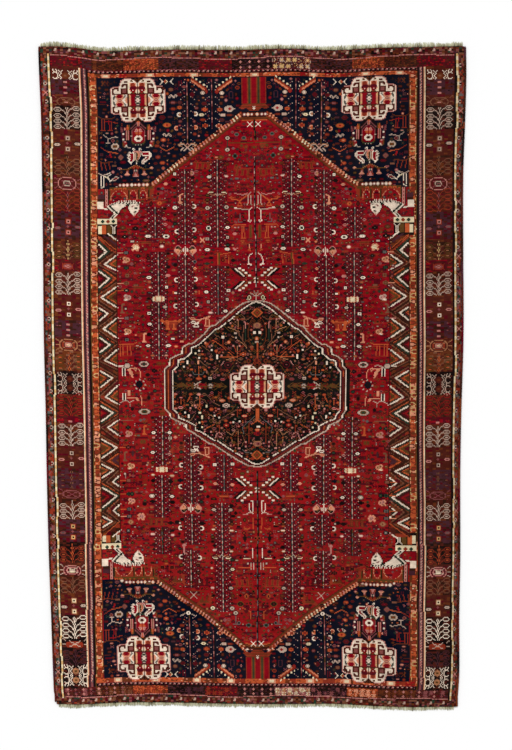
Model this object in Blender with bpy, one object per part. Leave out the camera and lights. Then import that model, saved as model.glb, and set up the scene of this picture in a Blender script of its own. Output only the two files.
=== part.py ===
"""A hand-knotted tribal wool rug, lying flat, pile side up.

The knotted carpet is one flat solid. Along each side runs a round overcast selvedge,
and at each end the warps come out from under the pile as a short cut fringe.
Metres, +Z up. The pile's length runs along Y, and Z = 0 is the surface it lies on.
"""

import math
from collections import namedtuple

import bmesh
import bpy
from mathutils import Vector

# ---------------------------------------------------------------- driving dimensions
CARPET_THICK = 0.010        # foundation and pile together
PILE_EDGE = 0.0015          # how far the cut pile is rounded off at its rim
SELVEDGE_RADIUS = 0.0044    # wool-wrapped edge cord
SELVEDGE_SIDES = 10         # flat sides round the cord; one of them lies on the floor
FRINGE_THICK = 0.0032       # one bunch of warp ends
FRINGE_BAND = 0.0045        # depth of the strip that joins the bunches
FRINGE_BUNCHES = 54         # bunches of warp ends along one end
BUNCH_GAP = 0.0042          # space between two bunches
SEAM_GAP = 0.0003           # clearance between two pieces that touch
SIDE_STEPS = 84             # straight pieces in one side of the carpet
END_STEPS = 54              # straight pieces in one end of the carpet
CORNER_STEPS = 4            # straight pieces in one rounded corner

# The weaver's tension wandered, so the sides bow and the rug is narrower at one end.
# along: distance from the middle of the rug. left, right: the pile's edge from the warp centre.
SideRow = namedtuple("SideRow", "along left right")
SIDES = [
    SideRow(-1.284, 0.770, 0.800),
    SideRow(-1.180, 0.775, 0.807),
    SideRow(-0.950, 0.783, 0.807),
    SideRow(-0.710, 0.792, 0.811),
    SideRow(-0.400, 0.800, 0.811),
    SideRow(-0.160, 0.804, 0.815),
    SideRow(0.160, 0.812, 0.824),
    SideRow(0.470, 0.815, 0.823),
    SideRow(0.790, 0.819, 0.823),
    SideRow(1.020, 0.823, 0.831),
    SideRow(1.180, 0.830, 0.835),
    SideRow(1.290, 0.834, 0.834),
]

# across: distance from the warp centre. top, bottom: the pile's end from the middle of the rug.
EndRow = namedtuple("EndRow", "across top bottom")
ENDS = [
    EndRow(-0.840, 1.289, 1.276),
    EndRow(-0.770, 1.290, 1.280),
    EndRow(-0.690, 1.284, 1.284),
    EndRow(-0.600, 1.271, 1.280),
    EndRow(-0.490, 1.273, 1.275),
    EndRow(-0.300, 1.277, 1.276),
    EndRow(-0.060, 1.276, 1.281),
    EndRow(0.150, 1.281, 1.282),
    EndRow(0.330, 1.275, 1.281),
    EndRow(0.490, 1.284, 1.290),
    EndRow(0.640, 1.287, 1.294),
    EndRow(0.840, 1.291, 1.290),
]

# How far each corner of the carpet is rounded.
CORNER_RADIUS = {
    "bottom_left": 0.034,
    "bottom_right": 0.026,
    "top_right": 0.018,
    "top_left": 0.016,
}
TOP_FRINGE = 0.0215         # length of the cut warps at the top end
BOTTOM_FRINGE = 0.0190      # and at the bottom end
FRINGE_UNEVEN = 0.0016      # how much the shears wandered

# colour, roughness
WOOL_RED = ((0.30, 0.012, 0.020, 1.0), 0.92)
WOOL_DARK = ((0.055, 0.022, 0.026, 1.0), 0.88)
WARP_CREAM = ((0.56, 0.54, 0.38, 1.0), 0.90)


# ---------------------------------------------------------------- small helpers
def smooth_between(rows, key, value, at):
    """The value at a place between the rows of a table, on a smooth curve through them."""
    rows = sorted(rows, key=key)
    keys = [key(row) for row in rows]
    values = [value(row) for row in rows]
    at = min(max(at, keys[0]), keys[-1])
    i = max(n for n in range(len(keys) - 1) if keys[n] <= at)

    def slope(n):
        low, high = max(n - 1, 0), min(n + 1, len(keys) - 1)
        return (values[high] - values[low]) / (keys[high] - keys[low])

    span = keys[i + 1] - keys[i]
    t = (at - keys[i]) / span
    return (
        (2 * t**3 - 3 * t**2 + 1) * values[i]
        + (t**3 - 2 * t**2 + t) * span * slope(i)
        + (3 * t**2 - 2 * t**3) * values[i + 1]
        + (t**3 - t**2) * span * slope(i + 1)
    )


def side_x(side, along):
    """X of the carpet's left (-1) or right (+1) side at a distance along the rug."""
    return side * smooth_between(
        SIDES, lambda row: row.along, lambda row: row.left if side < 0 else row.right, along
    )


def end_y(end, across):
    """Y of the carpet's bottom (-1) or top (+1) end at a distance across the rug."""
    return end * smooth_between(
        ENDS, lambda row: row.across, lambda row: row.bottom if end < 0 else row.top, across
    )


def corner_point(side, end):
    """Where a side meets an end, found by going back and forth between the two curves."""
    x, y = side * 0.8, end * 1.28
    for _ in range(6):
        x = side_x(side, y)
        y = end_y(end, x)
    return Vector((x, y))


def material(name, look):
    colour, roughness = look
    made = bpy.data.materials.new(name)
    made.use_nodes = True
    shader = made.node_tree.nodes["Principled BSDF"]
    shader.inputs["Base Color"].default_value = colour
    shader.inputs["Roughness"].default_value = roughness
    made.diffuse_color = colour
    return made


def flat_solid(name, outline, low, high, look, collection):
    """A closed slab between two heights with the given outline, from a filled 2D curve."""
    curve = bpy.data.curves.new(name, "CURVE")
    curve.dimensions = "2D"
    curve.fill_mode = "BOTH"
    curve.extrude = (high - low) / 2
    spline = curve.splines.new("POLY")
    spline.points.add(len(outline) - 1)
    for point, (x, y) in zip(spline.points, outline):
        point.co = (x, y, 0.0, 1.0)
    spline.use_cyclic_u = True
    made = bpy.data.objects.new(name, curve)
    made.location.z = (low + high) / 2
    curve.materials.append(look)
    collection.objects.link(made)
    return made


# ---------------------------------------------------------------- the knotted carpet
def side_line(side):
    """Points up one side of the carpet, from its bottom corner to its top corner."""
    name = "left" if side < 0 else "right"
    start = corner_point(side, -1).y + CORNER_RADIUS["bottom_" + name]
    stop = corner_point(side, +1).y - CORNER_RADIUS["top_" + name]
    ys = [start + (stop - start) * n / SIDE_STEPS for n in range(SIDE_STEPS + 1)]
    return [Vector((side_x(side, y), y)) for y in ys]


def end_line(end):
    """Points along one end of the carpet, from its left corner to its right corner."""
    name = "bottom" if end < 0 else "top"
    start = corner_point(-1, end).x + CORNER_RADIUS[name + "_left"]
    stop = corner_point(+1, end).x - CORNER_RADIUS[name + "_right"]
    xs = [start + (stop - start) * n / END_STEPS for n in range(END_STEPS + 1)]
    return [Vector((x, end_y(end, x))) for x in xs]


def rounded(before, corner, after):
    """The points of a rounded corner between two given ends, without those ends."""
    return [
        before * (1 - t) ** 2 + corner * 2 * t * (1 - t) + after * t**2
        for t in (n / CORNER_STEPS for n in range(1, CORNER_STEPS))
    ]


def carpet_outline():
    """The carpet's edge, anticlockwise from the bottom left corner."""
    bottom, right = end_line(-1), side_line(+1)
    top, left = end_line(+1)[::-1], side_line(-1)[::-1]
    outline = []
    runs = [bottom, right, top, left]
    corners = [corner_point(+1, -1), corner_point(+1, +1), corner_point(-1, +1), corner_point(-1, -1)]
    for run, following, corner in zip(runs, runs[1:] + runs[:1], corners):
        outline += run + rounded(run[-1], corner, following[0])
    return outline


def round_off_rim(carpet, width):
    """Takes the sharp edge off the top of the carpet's rim."""
    bm = bmesh.new()
    bm.from_mesh(carpet.data)
    top = max(vert.co.z for vert in bm.verts)
    rim = [
        edge
        for edge in bm.edges
        if all(abs(vert.co.z - top) < 1e-6 for vert in edge.verts)
        and any(abs(face.normal.z) < 0.5 for face in edge.link_faces)
    ]
    bmesh.ops.bevel(bm, geom=rim, offset=width, segments=2, profile=0.5, affect="EDGES")
    bm.to_mesh(carpet.data)
    bm.free()


def knotted_carpet(collection):
    """The foundation and its pile, one woven piece."""
    look = material("wool_pile", WOOL_RED)
    bm = bmesh.new()
    rim = [bm.verts.new((point.x, point.y, 0.0)) for point in carpet_outline()]
    base = bm.faces.new(rim)
    raised = bmesh.ops.extrude_face_region(bm, geom=[base])["geom"]
    lifted = [item for item in raised if isinstance(item, bmesh.types.BMVert)]
    bmesh.ops.translate(bm, verts=lifted, vec=(0.0, 0.0, CARPET_THICK))
    bmesh.ops.recalc_face_normals(bm, faces=bm.faces)
    mesh = bpy.data.meshes.new("carpet")
    bm.to_mesh(mesh)
    bm.free()
    carpet = bpy.data.objects.new("carpet", mesh)
    mesh.materials.append(look)
    collection.objects.link(carpet)
    round_off_rim(carpet, PILE_EDGE)
    return carpet


# ---------------------------------------------------------------- selvedges
def selvedge(side, look, collection):
    """The overcast cord along one side. It lies on the floor beside the carpet's edge."""
    name = "selvedge_left" if side < 0 else "selvedge_right"
    curve = bpy.data.curves.new(name, "CURVE")
    curve.dimensions = "3D"
    curve.bevel_depth = SELVEDGE_RADIUS
    curve.bevel_resolution = SELVEDGE_SIDES // 2 - 2
    curve.use_fill_caps = True
    line = side_line(side)
    height = SELVEDGE_RADIUS * math.cos(math.pi / SELVEDGE_SIDES)
    spline = curve.splines.new("POLY")
    spline.points.add(len(line) - 1)
    for point, place in zip(spline.points, line):
        out = place.x + side * (SEAM_GAP + SELVEDGE_RADIUS)
        point.co = (out, place.y, height, 1.0)
    curve.materials.append(look)
    cord = bpy.data.objects.new(name, curve)
    collection.objects.link(cord)
    return cord


# ---------------------------------------------------------------- fringes
def fringe(end, look, collection):
    """The cut warp ends at one end of the carpet: a comb whose strip follows the pile's edge."""
    name = "fringe_bottom" if end < 0 else "fringe_top"
    reach = BOTTOM_FRINGE if end < 0 else TOP_FRINGE
    inner = [point + Vector((0.0, end * SEAM_GAP)) for point in end_line(end)]
    first, last = inner[0].x, inner[-1].x
    pitch = (last - first + BUNCH_GAP) / FRINGE_BUNCHES

    def at(x, out):
        return Vector((x, end_y(end, x) + end * (SEAM_GAP + out)))

    outer = []
    for n in range(FRINGE_BUNCHES):
        left = first + n * pitch
        right = left + pitch - BUNCH_GAP
        uneven = FRINGE_UNEVEN * math.sin(2.7 * n) * math.cos(1.3 * n)
        tip = reach + uneven - FRINGE_UNEVEN
        outer += [at(left, FRINGE_BAND), at(left, tip), at(right, tip), at(right, FRINGE_BAND)]
    outline = inner + outer[::-1] if end > 0 else inner[::-1] + outer
    return flat_solid(name, outline, 0.0, FRINGE_THICK, look, collection)


# ---------------------------------------------------------------- the whole rug
def centre_on_origin(pieces):
    """Moves the rug so that its footprint is centred on the origin."""
    bpy.context.view_layer.update()
    corners = [
        piece.matrix_world @ Vector(corner) for piece in pieces for corner in piece.bound_box
    ]
    middle = [
        (min(c[axis] for c in corners) + max(c[axis] for c in corners)) / 2 for axis in (0, 1)
    ]
    for piece in pieces:
        piece.location.x -= middle[0]
        piece.location.y -= middle[1]


def main():
    for old in list(bpy.data.objects):
        bpy.data.objects.remove(old)
    rug = bpy.data.collections.new("persian_rug")
    bpy.context.scene.collection.children.link(rug)
    dark = material("selvedge_wool", WOOL_DARK)
    cream = material("warp_wool", WARP_CREAM)
    pieces = [knotted_carpet(rug)]
    pieces += [selvedge(side, dark, rug) for side in (-1, +1)]
    pieces += [fringe(end, cream, rug) for end in (-1, +1)]
    centre_on_origin(pieces)


main()
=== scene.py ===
# %% [markdown]
# # A hand-knotted tribal rug
# This lesson builds the looks of a rug that lies flat on a floor, pile side up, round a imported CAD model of
# it. The real thing is woven in one piece: undyed warps run its whole length, rows of wool knots are tied on
# them, and wefts are beaten down between the rows. The cut ends of the knots are the pile. The warps come out
# at both ends as a short fringe, and each long side is wrapped in wool, which is called a selvedge.
#
# The order is the maker's: dye the wool, draw the chart, tie the knots, wrap the sides, trim the fringes.

# %% The frame
import math

import bpy
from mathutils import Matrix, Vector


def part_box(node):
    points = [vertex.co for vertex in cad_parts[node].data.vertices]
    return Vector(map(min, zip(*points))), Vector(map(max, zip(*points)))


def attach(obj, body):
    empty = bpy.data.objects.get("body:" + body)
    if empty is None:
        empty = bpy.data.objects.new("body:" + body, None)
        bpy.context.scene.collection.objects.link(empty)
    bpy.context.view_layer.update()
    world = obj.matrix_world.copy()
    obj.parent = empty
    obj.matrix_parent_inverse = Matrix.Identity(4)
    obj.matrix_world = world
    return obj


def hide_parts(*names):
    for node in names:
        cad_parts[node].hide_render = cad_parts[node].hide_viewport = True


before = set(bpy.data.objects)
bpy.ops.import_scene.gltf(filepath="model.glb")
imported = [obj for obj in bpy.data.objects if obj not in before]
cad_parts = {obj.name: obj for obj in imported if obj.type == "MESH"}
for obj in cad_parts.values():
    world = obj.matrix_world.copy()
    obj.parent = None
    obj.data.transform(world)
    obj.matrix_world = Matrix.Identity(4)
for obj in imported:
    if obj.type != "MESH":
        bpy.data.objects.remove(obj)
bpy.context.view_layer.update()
BODY = "root"
print("frame:", sorted(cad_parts))

# %% [markdown]
# ## The dye card
# A knotted rug is a picture in wool: every knot is one dye. So the rug starts as a chart, a grid with one
# letter for each knot, which is also how a weaver's own cartoon works. The colours below are the vats of wool
# that the rug needs. They are given as plain 0 to 255 values, as on a screen, and turned into light later.

# %% The dye card
import numpy as np

DYES = {  # letter: (the wool, its colour)
    "n": ("night blue", (5, 12, 28)),
    "h": ("black green", (10, 13, 12)),
    "k": ("black brown", (22, 11, 10)),
    "d": ("dark brown", (52, 24, 15)),
    "x": ("red brown", (78, 28, 20)),
    "b": ("brown", (100, 46, 22)),
    "r": ("crimson", (134, 4, 22)),
    "s": ("madder red", (142, 18, 22)),
    "e": ("fox red", (136, 46, 28)),
    "m": ("maroon", (84, 6, 22)),
    "u": ("plum", (70, 34, 42)),
    "o": ("orange", (184, 82, 44)),
    "a": ("salmon", (214, 140, 108)),
    "c": ("cream", (226, 206, 168)),
    "w": ("ivory", (234, 212, 190)),
    "l": ("greyed ivory", (186, 158, 140)),
    "p": ("pink", (190, 122, 112)),
    "i": ("dusky pink", (132, 70, 70)),
    "f": ("faded brown", (120, 74, 54)),
    "g": ("dark green", (34, 54, 40)),
    "v": ("olive", (90, 60, 26)),
    "y": ("gold", (204, 162, 106)),
    "t": ("tan", (164, 108, 74)),
    "q": ("grey", (92, 88, 84)),
}
print(f"dye card: {len(DYES)} wools")

# %% [markdown]
# ## The empty chart
# The rug is 461 knots across and 727 rows long. Places are counted from the middle of the field: column 0,
# row 0, with columns to the right and rows towards the wide end. The weaver worked by eye, so the middle of
# the pattern wanders up to 4 knots to the right of the rug's own. `middle` says where it is on each row, and
# every motif in the field is sewn twice, once on each side of it.

# %% The empty chart
KNOTS, ROWS = 461, 727
HALF_KNOTS, ROWS_BELOW = KNOTS // 2, 364
FIELD_TURN = -8.5  # the row where the upper half of the field mirrors into the lower half

chart = np.full((ROWS, KNOTS), "r", dtype="<U1")
column, row = np.meshgrid(np.arange(KNOTS) - HALF_KNOTS, np.arange(ROWS) - ROWS_BELOW)


def middle(at_row):
    """The middle of the field's pattern on a row, in knots right of the rug's middle."""
    return np.interp(at_row, (-330, -115, 0, 135, 330), (1.7, 4.4, 4.0, 2.7, 1.0))


def mirror_at(at_column, at_row):
    """Where the mirror stands for a motif. Beside the medallion, the sides keep to the rug's own middle."""
    at_sides = np.interp(at_row, (-140, -30, 50, 110), (0.8, 0, 0, 1))
    return float(middle(at_row) * np.interp(abs(at_column), (85, 115), (1, at_sides)))


from_middle = np.abs(column - middle(row))
print(f"chart: {KNOTS} x {ROWS} knots, {KNOTS * ROWS} in all")

# %% [markdown]
# ## Needle and thread
# Six small helpers do all the sewing. `knot` ties one knot and `fill` covers a block. `motif` reads a small
# chart drawn with letters. Its dots leave the ground alone, and lines stop at their last letter. `sew` puts
# a motif somewhere and its mirror image across the middle. `thread` runs a line, and `bud` sews a flower.

# %% Knots and blocks
def knot(at_column, at_row, dye):
    """One knot, if it is on the rug."""
    if abs(at_column) <= HALF_KNOTS and 0 <= at_row + ROWS_BELOW < ROWS:
        chart[at_row + ROWS_BELOW, at_column + HALF_KNOTS] = dye


def fill(first, last, low, high, dye, axis=None):
    """A block of knots, columns first to last and rows low to high, and its mirror image if axis is given."""
    first, last = sorted((round(first), round(last)))
    low, high = sorted((round(low), round(high)))
    sides = [(first, last)]
    if axis is not None:
        sides.append((round(2 * axis) - last, round(2 * axis) - first))
    for left, right in sides:
        chart[low + ROWS_BELOW:high + ROWS_BELOW + 1, left + HALF_KNOTS:right + HALF_KNOTS + 1] = dye


print("chart ready to fill")


# %% Motifs
def motif(drawing, mirror=""):
    """Stitches (across, up, dye) round a motif's middle. mirror names the halves that are not drawn."""
    lines = drawing.split()
    tall = len(lines) - 1 if "down" in mirror else (len(lines) - 1) / 2
    wide = 0 if "left" in mirror else (max(map(len, lines)) - 1) / 2
    stitches = []
    for i, line in enumerate(lines):
        for j, dye in enumerate(line):
            if dye != ".":
                stitches.append((j - int(wide), int(tall) - i, dye))
    if "left" in mirror:
        stitches += [(-across, up, dye) for across, up, dye in stitches]
    if "down" in mirror:
        stitches += [(across, -up, dye) for across, up, dye in stitches]
    return stitches


def sew(stitches, at_column, at_row, wools="", twin=True, upside_down=False, turned=False, axis=None):
    """Stitches round a place, and mirrored about axis. wools are the dyes for the numbers 1, 2, 3 in them."""
    axis = mirror_at(at_column, at_row) if axis is None else axis
    places = [(round(at_column), -1 if turned else 1)]
    if twin:
        places.append((round(2 * axis - at_column), 1 if turned else -1))
    for place, way in places:
        for across, up, dye in stitches:
            if dye.isdigit():
                dye = wools[int(dye) - 1]
            if dye != ".":
                knot(place + way * across, round(at_row) + (-up if upside_down else up), dye)


print("motifs can be sewn")


# %% Threads and flowers
def thread(points, dye, width=1, twin=True, axis=None):
    """A line of knots through points, width knots across."""
    for (c0, r0), (c1, r1) in zip(points, points[1:]):
        steps = int(max(abs(c1 - c0), abs(r1 - r0), 1))
        for i in range(steps + 1):
            c = round(c0 + (c1 - c0) * i / steps)
            r = round(r0 + (r1 - r0) * i / steps)
            sew([(k, 0, dye) for k in range(width)], c, r, twin=twin, axis=axis)


def bud(at_column, at_row, wide, high, wools, twin=True, axis=None, point=1.5):
    """A flower, wools from rim to heart. Pale ones get an outline. point: 1 is a lozenge, 3 is a barrel."""
    if wools[0] in "wlc":
        wide, high, wools = wide + 2, high + 2, "k" + wools
    stitches = []
    for i in range(wide):
        for j in range(high):
            across, up = i - (wide - 1) / 2, j - (high - 1) / 2
            out = ((abs(across) * 2 / wide) ** point + (abs(up) * 2 / high) ** (point + 0.2)) ** (1 / point)
            if out < 1.01:
                deep = (1 - out) * min(wide, high) / 2
                step = int(deep + 0.35) if deep < 1.65 else int(deep)
                stitches.append((i - wide // 2, j - high // 2, wools[min(max(step, 0), len(wools) - 1)]))
    sew(stitches, at_column, at_row, twin=twin, axis=axis)


print("needle and thread ready")

# %% [markdown]
# Hundreds of small flowers and lines follow. Their tables are written as text, because a knitter's shorthand
# is quicker to read than brackets. `-118: 185 5x3 xi` is a flower at column -118 and row 185, 5 knots wide
# and 3 high, in wools x and i from rim to heart. `s2 -163,284 -157,284` is a line of wool s, 2 knots thick.

# %% Tables written as text
def bud_table(text):
    """Flowers (column, row, wide, high, wools) from text. A column holds until the next semicolon or line."""
    buds = []
    for group in text.strip().replace("\n", ";").split(";"):
        at_column, flowers = group.split(":")
        for flower in flowers.split(","):
            at_row, size, wools = flower.split()
            wide, high = map(int, size.split("x"))
            buds.append((int(at_column), int(at_row), wide, high, wools))
    return buds


def line_table(text):
    """Lines of knots (wool, thickness, points) from text, with a stroke between them."""
    lines = []
    for line in text.split("/"):
        wool, *points = line.split()
        lines.append((wool[0], int(wool[1:] or 1), [tuple(map(int, point.split(","))) for point in points]))
    return lines


print("tables can be read")

# %% [markdown]
# ## Bands and borders
# The outer guard runs round the whole rug. Inside it, each long side has a cream line, the main border and
# five narrow stripes, and each end has blocks of its own. All of these stay in line with the rug's edge, so
# they mirror about column 0. Towards the narrow end the inner stripes creep outward by up to 3 knots.

# %% Bands and borders
distance = np.abs(column) - np.interp(row, (-340, -150), (2.6, 0)) + np.where(column > 183, 1, 0)
side_rows = (row >= -345) & (row <= 340)
SIDE_STRIPES = (  # first and last distance from the middle, wool
    (172, 172, "b"), (173, 179, "o"), (180, 180, "v"), (181, 182, "k"), (183, 183, "u"), (184, 185, "i"),
    (186, 187, "u"), (188, 188, "k"), (189, 189, "a"), (190, 190, "c"), (191, 221, "d"),
)
for first, last, wool in SIDE_STRIPES:
    chart[side_rows & (distance > first - 0.5) & (distance < last + 0.5)] = wool
chart[np.abs(column) > 221] = "d"
chart[(row > 340) | (row < -345)] = "k"
print("bands laid")

# %% [markdown]
# The outer guard and the stripes are never plain: the weaver filled them with small things in whatever wool
# was at hand. These fillings repeat with a slight change each time, so a seeded random draw picks them.

# %% Fillings of the guard and the orange stripe
draw = np.random.default_rng(46)


def pick(wools):
    """One of several wools, at random."""
    return draw.choice(list(wools))


def mottle(first, last, low, high, wools, size=(2, 3)):
    """Cover a block with small uneven patches of several wools."""
    for at_row in range(low, high + 1, size[1]):
        for at_column in range(first, last + 1, size[0]):
            end, top = min(at_column + size[0] - 1, last), min(at_row + size[1] - 1, high)
            fill(at_column, end, at_row, top, pick(wools))


def creep(at_row):
    """How far the inner stripes stand outward on a row, in whole knots."""
    return round(float(np.interp(at_row, (-340, -150), (2.6, 0))))


GUARD_FLOWER = motif("1ll. 1.2l 1.2l 1ll.")
GUARD_RING = motif(".ll. l21l l21l .ll.")
GUARD_CROSS = motif("1....1 .1..1. ..11.. ..11.. .1..1. 1....1")
for side in (-1, 1):
    mottle(*sorted((side * 224, side * 230)), -364, 362, "dxefdefbgixuq")
    for at_row in range(-346, 352, 20):
        shape = GUARD_RING if draw.random() < 0.3 else GUARD_FLOWER
        sew(shape, side * 227, at_row + 8, pick("eim") + "n", twin=False, turned=side > 0)
        sew(GUARD_CROSS, side * 227, at_row - 2, pick("iiepe"), twin=False)
        fill(side * 228, side * 226, at_row + 3, at_row + 4, pick("qvgi"))
TRIANGLE = motif("11111.. 1222111 1222221 1222111 11111..")
for side in (-1, 1):
    for at_row in range(-338, 336, 6):
        left, right = sorted((side * (173 + creep(at_row)), side * (179 + creep(at_row))))
        ground = pick("oooaoe")
        fill(left, right, at_row, at_row + 5, ground)
        for _ in range(3):
            c, r = draw.integers(left, right + 1), draw.integers(at_row, at_row + 6)
            fill(c, c + 1, r, r, pick("ebaceb"))
    for at_row in range(-334, 334, 8):
        at = side * (176.5 + creep(at_row))
        up, wools = draw.integers(-1, 2), pick(["be", "eo", "xa", "eb", "ye"])
        sew(TRIANGLE, at, at_row + up, wools, twin=False, turned=bool(draw.random() < 0.5))
    for at_row in range(-338, 338, 4):
        for at, wools in ((173, "oaybx"), (179, "aybebx")):
            c = side * (at + creep(at_row))
            fill(c, c, at_row, at_row + 2, pick(wools))
    for at_row in range(-340, 340, 3):
        c = side * (184 + creep(at_row))
        fill(c, c, at_row, at_row + 1, pick("lqpl"))
        fill(c + side, c + side, at_row + 1, at_row + 2, "p")
print("guard and stripes filled")

# %% [markdown]
# ## The ends
# Each end has the guard with its white dots, a thin wavy line, a band in blocks of colour, a toothed line and
# a stripe of orange blocks. The block table names first and last column, ground and the wool of its flowers.

# %% The ends
END_BLOCKS = {  # rows low and high, then blocks: first and last column, ground, flowers, how many of 10 show
    "top": ((341, 353), (
        (-220, -187, "m", "k", 0), (-186, -177, "u", "k", 0), (-176, -141, "d", "b", 2),
        (-140, -103, "b", "oe", 7), (-102, -59, "p", "k", 0), (-58, -23, "m", "k", 0), (-22, 21, "k", "k", 0),
        (22, 64, "u", "tly", 6), (65, 108, "p", "k", 0), (109, 143, "e", "ob", 7), (144, 180, "d", "k", 2),
        (181, 220, "m", "k", 0))),
    "bottom": ((-355, -346), (
        (-220, -184, "x", "i", 1), (-183, -142, "d", "fb", 3), (-141, -102, "b", "oe", 7),
        (-101, -59, "k", "u", 3), (-58, -22, "m", "e", 2), (-21, 21, "k", "k", 0), (22, 62, "i", "lct", 6),
        (63, 104, "k", "ui", 3), (105, 140, "b", "oa", 7), (141, 182, "d", "b", 3), (183, 220, "x", "i", 1))),
}
BLOCK_SHADES = {"m": "mmxmdms", "u": "uuxdm", "d": "dxbdxd", "b": "bebxbo", "k": "kdkuk", "e": "ebeox",
                "i": "iixip", "x": "mxdxu", "p": "udkukdx"}
ROSETTE = motif(".1.1. 11211 .222. 11211 .1.1.")
for (low, high), blocks in END_BLOCKS.values():
    for first, last, ground, flowers, share in blocks:
        mottle(first, last, low, high, BLOCK_SHADES[ground], size=(2, 1))
        for at_column in range(first + 3, last - 1, 7):
            for at_row in (low + 2, high - 3):
                if draw.random() * 10 < share + 2 and flowers != "k":
                    sew(ROSETTE, at_column, at_row, pick(flowers) + flowers[-1], twin=False)
        for _ in range(share * (last - first) // 3):
            knot(draw.integers(first, last), draw.integers(low, high), pick(flowers))
DOT = motif(".1. 111 .1.")
for at_column in range(-13, 20, 10):
    for at_row in (349, 343, -348, -353):
        sew(DOT, at_column, at_row, "p", twin=False)
for at_column in (*range(-216, -145, 9), *range(150, 220, 9)):
    for at_row in (-348, -353):
        sew(DOT, at_column, at_row, "i" if at_column % 2 else "p", twin=False)
print("end bands blocked")

# %% Guards, lines and orange stripes of the ends
for side, line_row, guard_low, guard_high in ((1, 353, 354, 362), (-1, -356, -364, -357)):
    mottle(-230, 230, guard_low, guard_high, "mxbxfdkxufidgx", size=(3, 2))
    for at_column in range(-222, 223):
        wave = round(0.8 * np.sin(at_column / 23.0))
        knot(at_column, line_row + wave, "p" if draw.random() < 0.7 else "i")
    for at_column in range(-216, 220, 16):
        where = at_column + int(draw.integers(-1, 2))
        sew(motif(".ll ill llp"), where, (guard_low + guard_high) // 2 + 1, twin=False)
        for _ in range(5):
            fill(where + 6, where + 8, guard_low + 1, guard_low + 2, pick("eiub"))
for low, high in ((337, 340), (-345, -342)):
    fill(-182, 182, low, high, "k")
    for at_column in range(-181, 181):
        step = at_column % 5
        if step < 3:
            knot(at_column, low + 1, "m" if at_column % 40 < 20 else "i")
        if step == 1:
            knot(at_column, low + 2, "p")
            knot(at_column + 1, low + 2, "l")
        knot(at_column, high, "i" if draw.random() < 0.35 else "m")
ORANGE_BLOCKS = {  # rows low and high, the gold blocks' first columns
    "top": (333, 336, (-165, -116, -68, -2, 62, 119, 157)),
    "bottom": (-341, -337, (-162, -119, -72, -33, 14, 58, 100, 150)),
}
for low, high, golden in ORANGE_BLOCKS.values():
    at_column = -180
    while at_column < 180:
        wide = int(draw.integers(6, 13))
        last = min(at_column + wide - 1, 180)
        fill(at_column, last, low, high, pick("ooobeeos"))
        at_column += wide
    for _ in range(300):
        c = int(draw.integers(-180, 180))
        fill(c, c + 1, *[int(draw.integers(low, high + 1))] * 2, pick("ebaob"))
    for first in golden:
        fill(first, first + 8, low, high, "a")
        fill(first + 2, first + 6, low + 1, high - 1, "c")
print("ends finished")

# %% [markdown]
# ## The main border
# Between the cream line and the pink line, 31 knots wide, the border goes down each side as a row of panels,
# one small garden after another. Most are plants with a leaf every few rows, so `garden` grows those from
# a few numbers. On the left side of a stem the leaves hang a little lower than on its right.

# %% Gardens of the main border
LOZENGE_SPRAY = motif("""
..........1..1
...1...1.1...1
....1.1..1..1
3....1...1111
333.1..1.1...1
3333.1..1
2233..1.1
2233..1.1
3333.1..1
333.1..1.1...1
3....1...1111
....1.1..1
""", "left")
RING_SQUARE = motif("333333 311113 312213 312213 311113 333333")
LEAF = motif("..11111.. .1.....1. 1..222..1 .1.....1. ..11111..")


def garden(at, low, high, leaf, stem, pitch=6.2, rise=2):
    """A border plant. leaf is the wools of a leaf and the mark on it, stem those of the stem and branches."""
    for at_row in np.arange(low + 3, high - 1, pitch):
        for side in (-1, 1):
            leaf_row = round(at_row + (rise if side > 0 else 0))
            bend = (at + side * 3, leaf_row - 2)
            thread(((at + side, leaf_row - 5), bend, (at + side * 6, leaf_row)), stem[1], twin=False)
            sew(LEAF, at + side * 10, leaf_row, leaf, twin=False, turned=side < 0)
    for at_row in range(low + 1, high):
        fill(at, at, at_row, at_row, stem[at_row // 2 % 2])
        if at_row % 6 < 2:
            fill(at - 1, at + 1, at_row, at_row, stem[0])
            fill(at, at, at_row, at_row, "k")


def columns(at, low, high, square, side_leaf):
    """Two ringed squares one above the other, a dot between them and a leaf on each side."""
    centre = (low + high) // 2
    for at_row in (centre + 6, centre - 6):
        sew(RING_SQUARE, at, at_row, square[0] + "d" + square[1], twin=False)
    bud(at, centre, 3, 3, "i", twin=False)
    for side in (-1, 1):
        bud(at + side * 11, centre - 1 + side, 7, 3, side_leaf, twin=False)


def bloom(at, low, high, wools, arms):
    """A big round flower with short arms at its sides."""
    centre = (low + high) / 2
    bud(at, centre, 20, high - low - 1, wools, twin=False, point=2.4)
    for up in (-4, 0, 4):
        for side in (-1, 1):
            thread(((at + side * 11, centre + up), (at + side * 14, centre + up * 1.4)), arms, twin=False)
    for slope in (-1, 1):
        thread(((at - 6, centre - 3 * slope), (at + 6, centre + 3 * slope)), arms, twin=False)


def beads(at, low, high, dots, faint):
    """Dots in a column with faint ones in rows beside it."""
    for at_row in range(low + 3, high, 6):
        bud(at, at_row, 4, 2, dots[0], twin=False)
    for at_row in range(low + 1, high, 4):
        for c in (-13, -10, 9, 12):
            sew(motif("11"), at + c, at_row, dots[-1] if draw.random() < 0.5 else faint, twin=False)


# %% [markdown]
# The panels, from the wide end to the narrow end. Each row of the table names its lowest and highest row, its
# ground, what grows there and in which wools.

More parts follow.
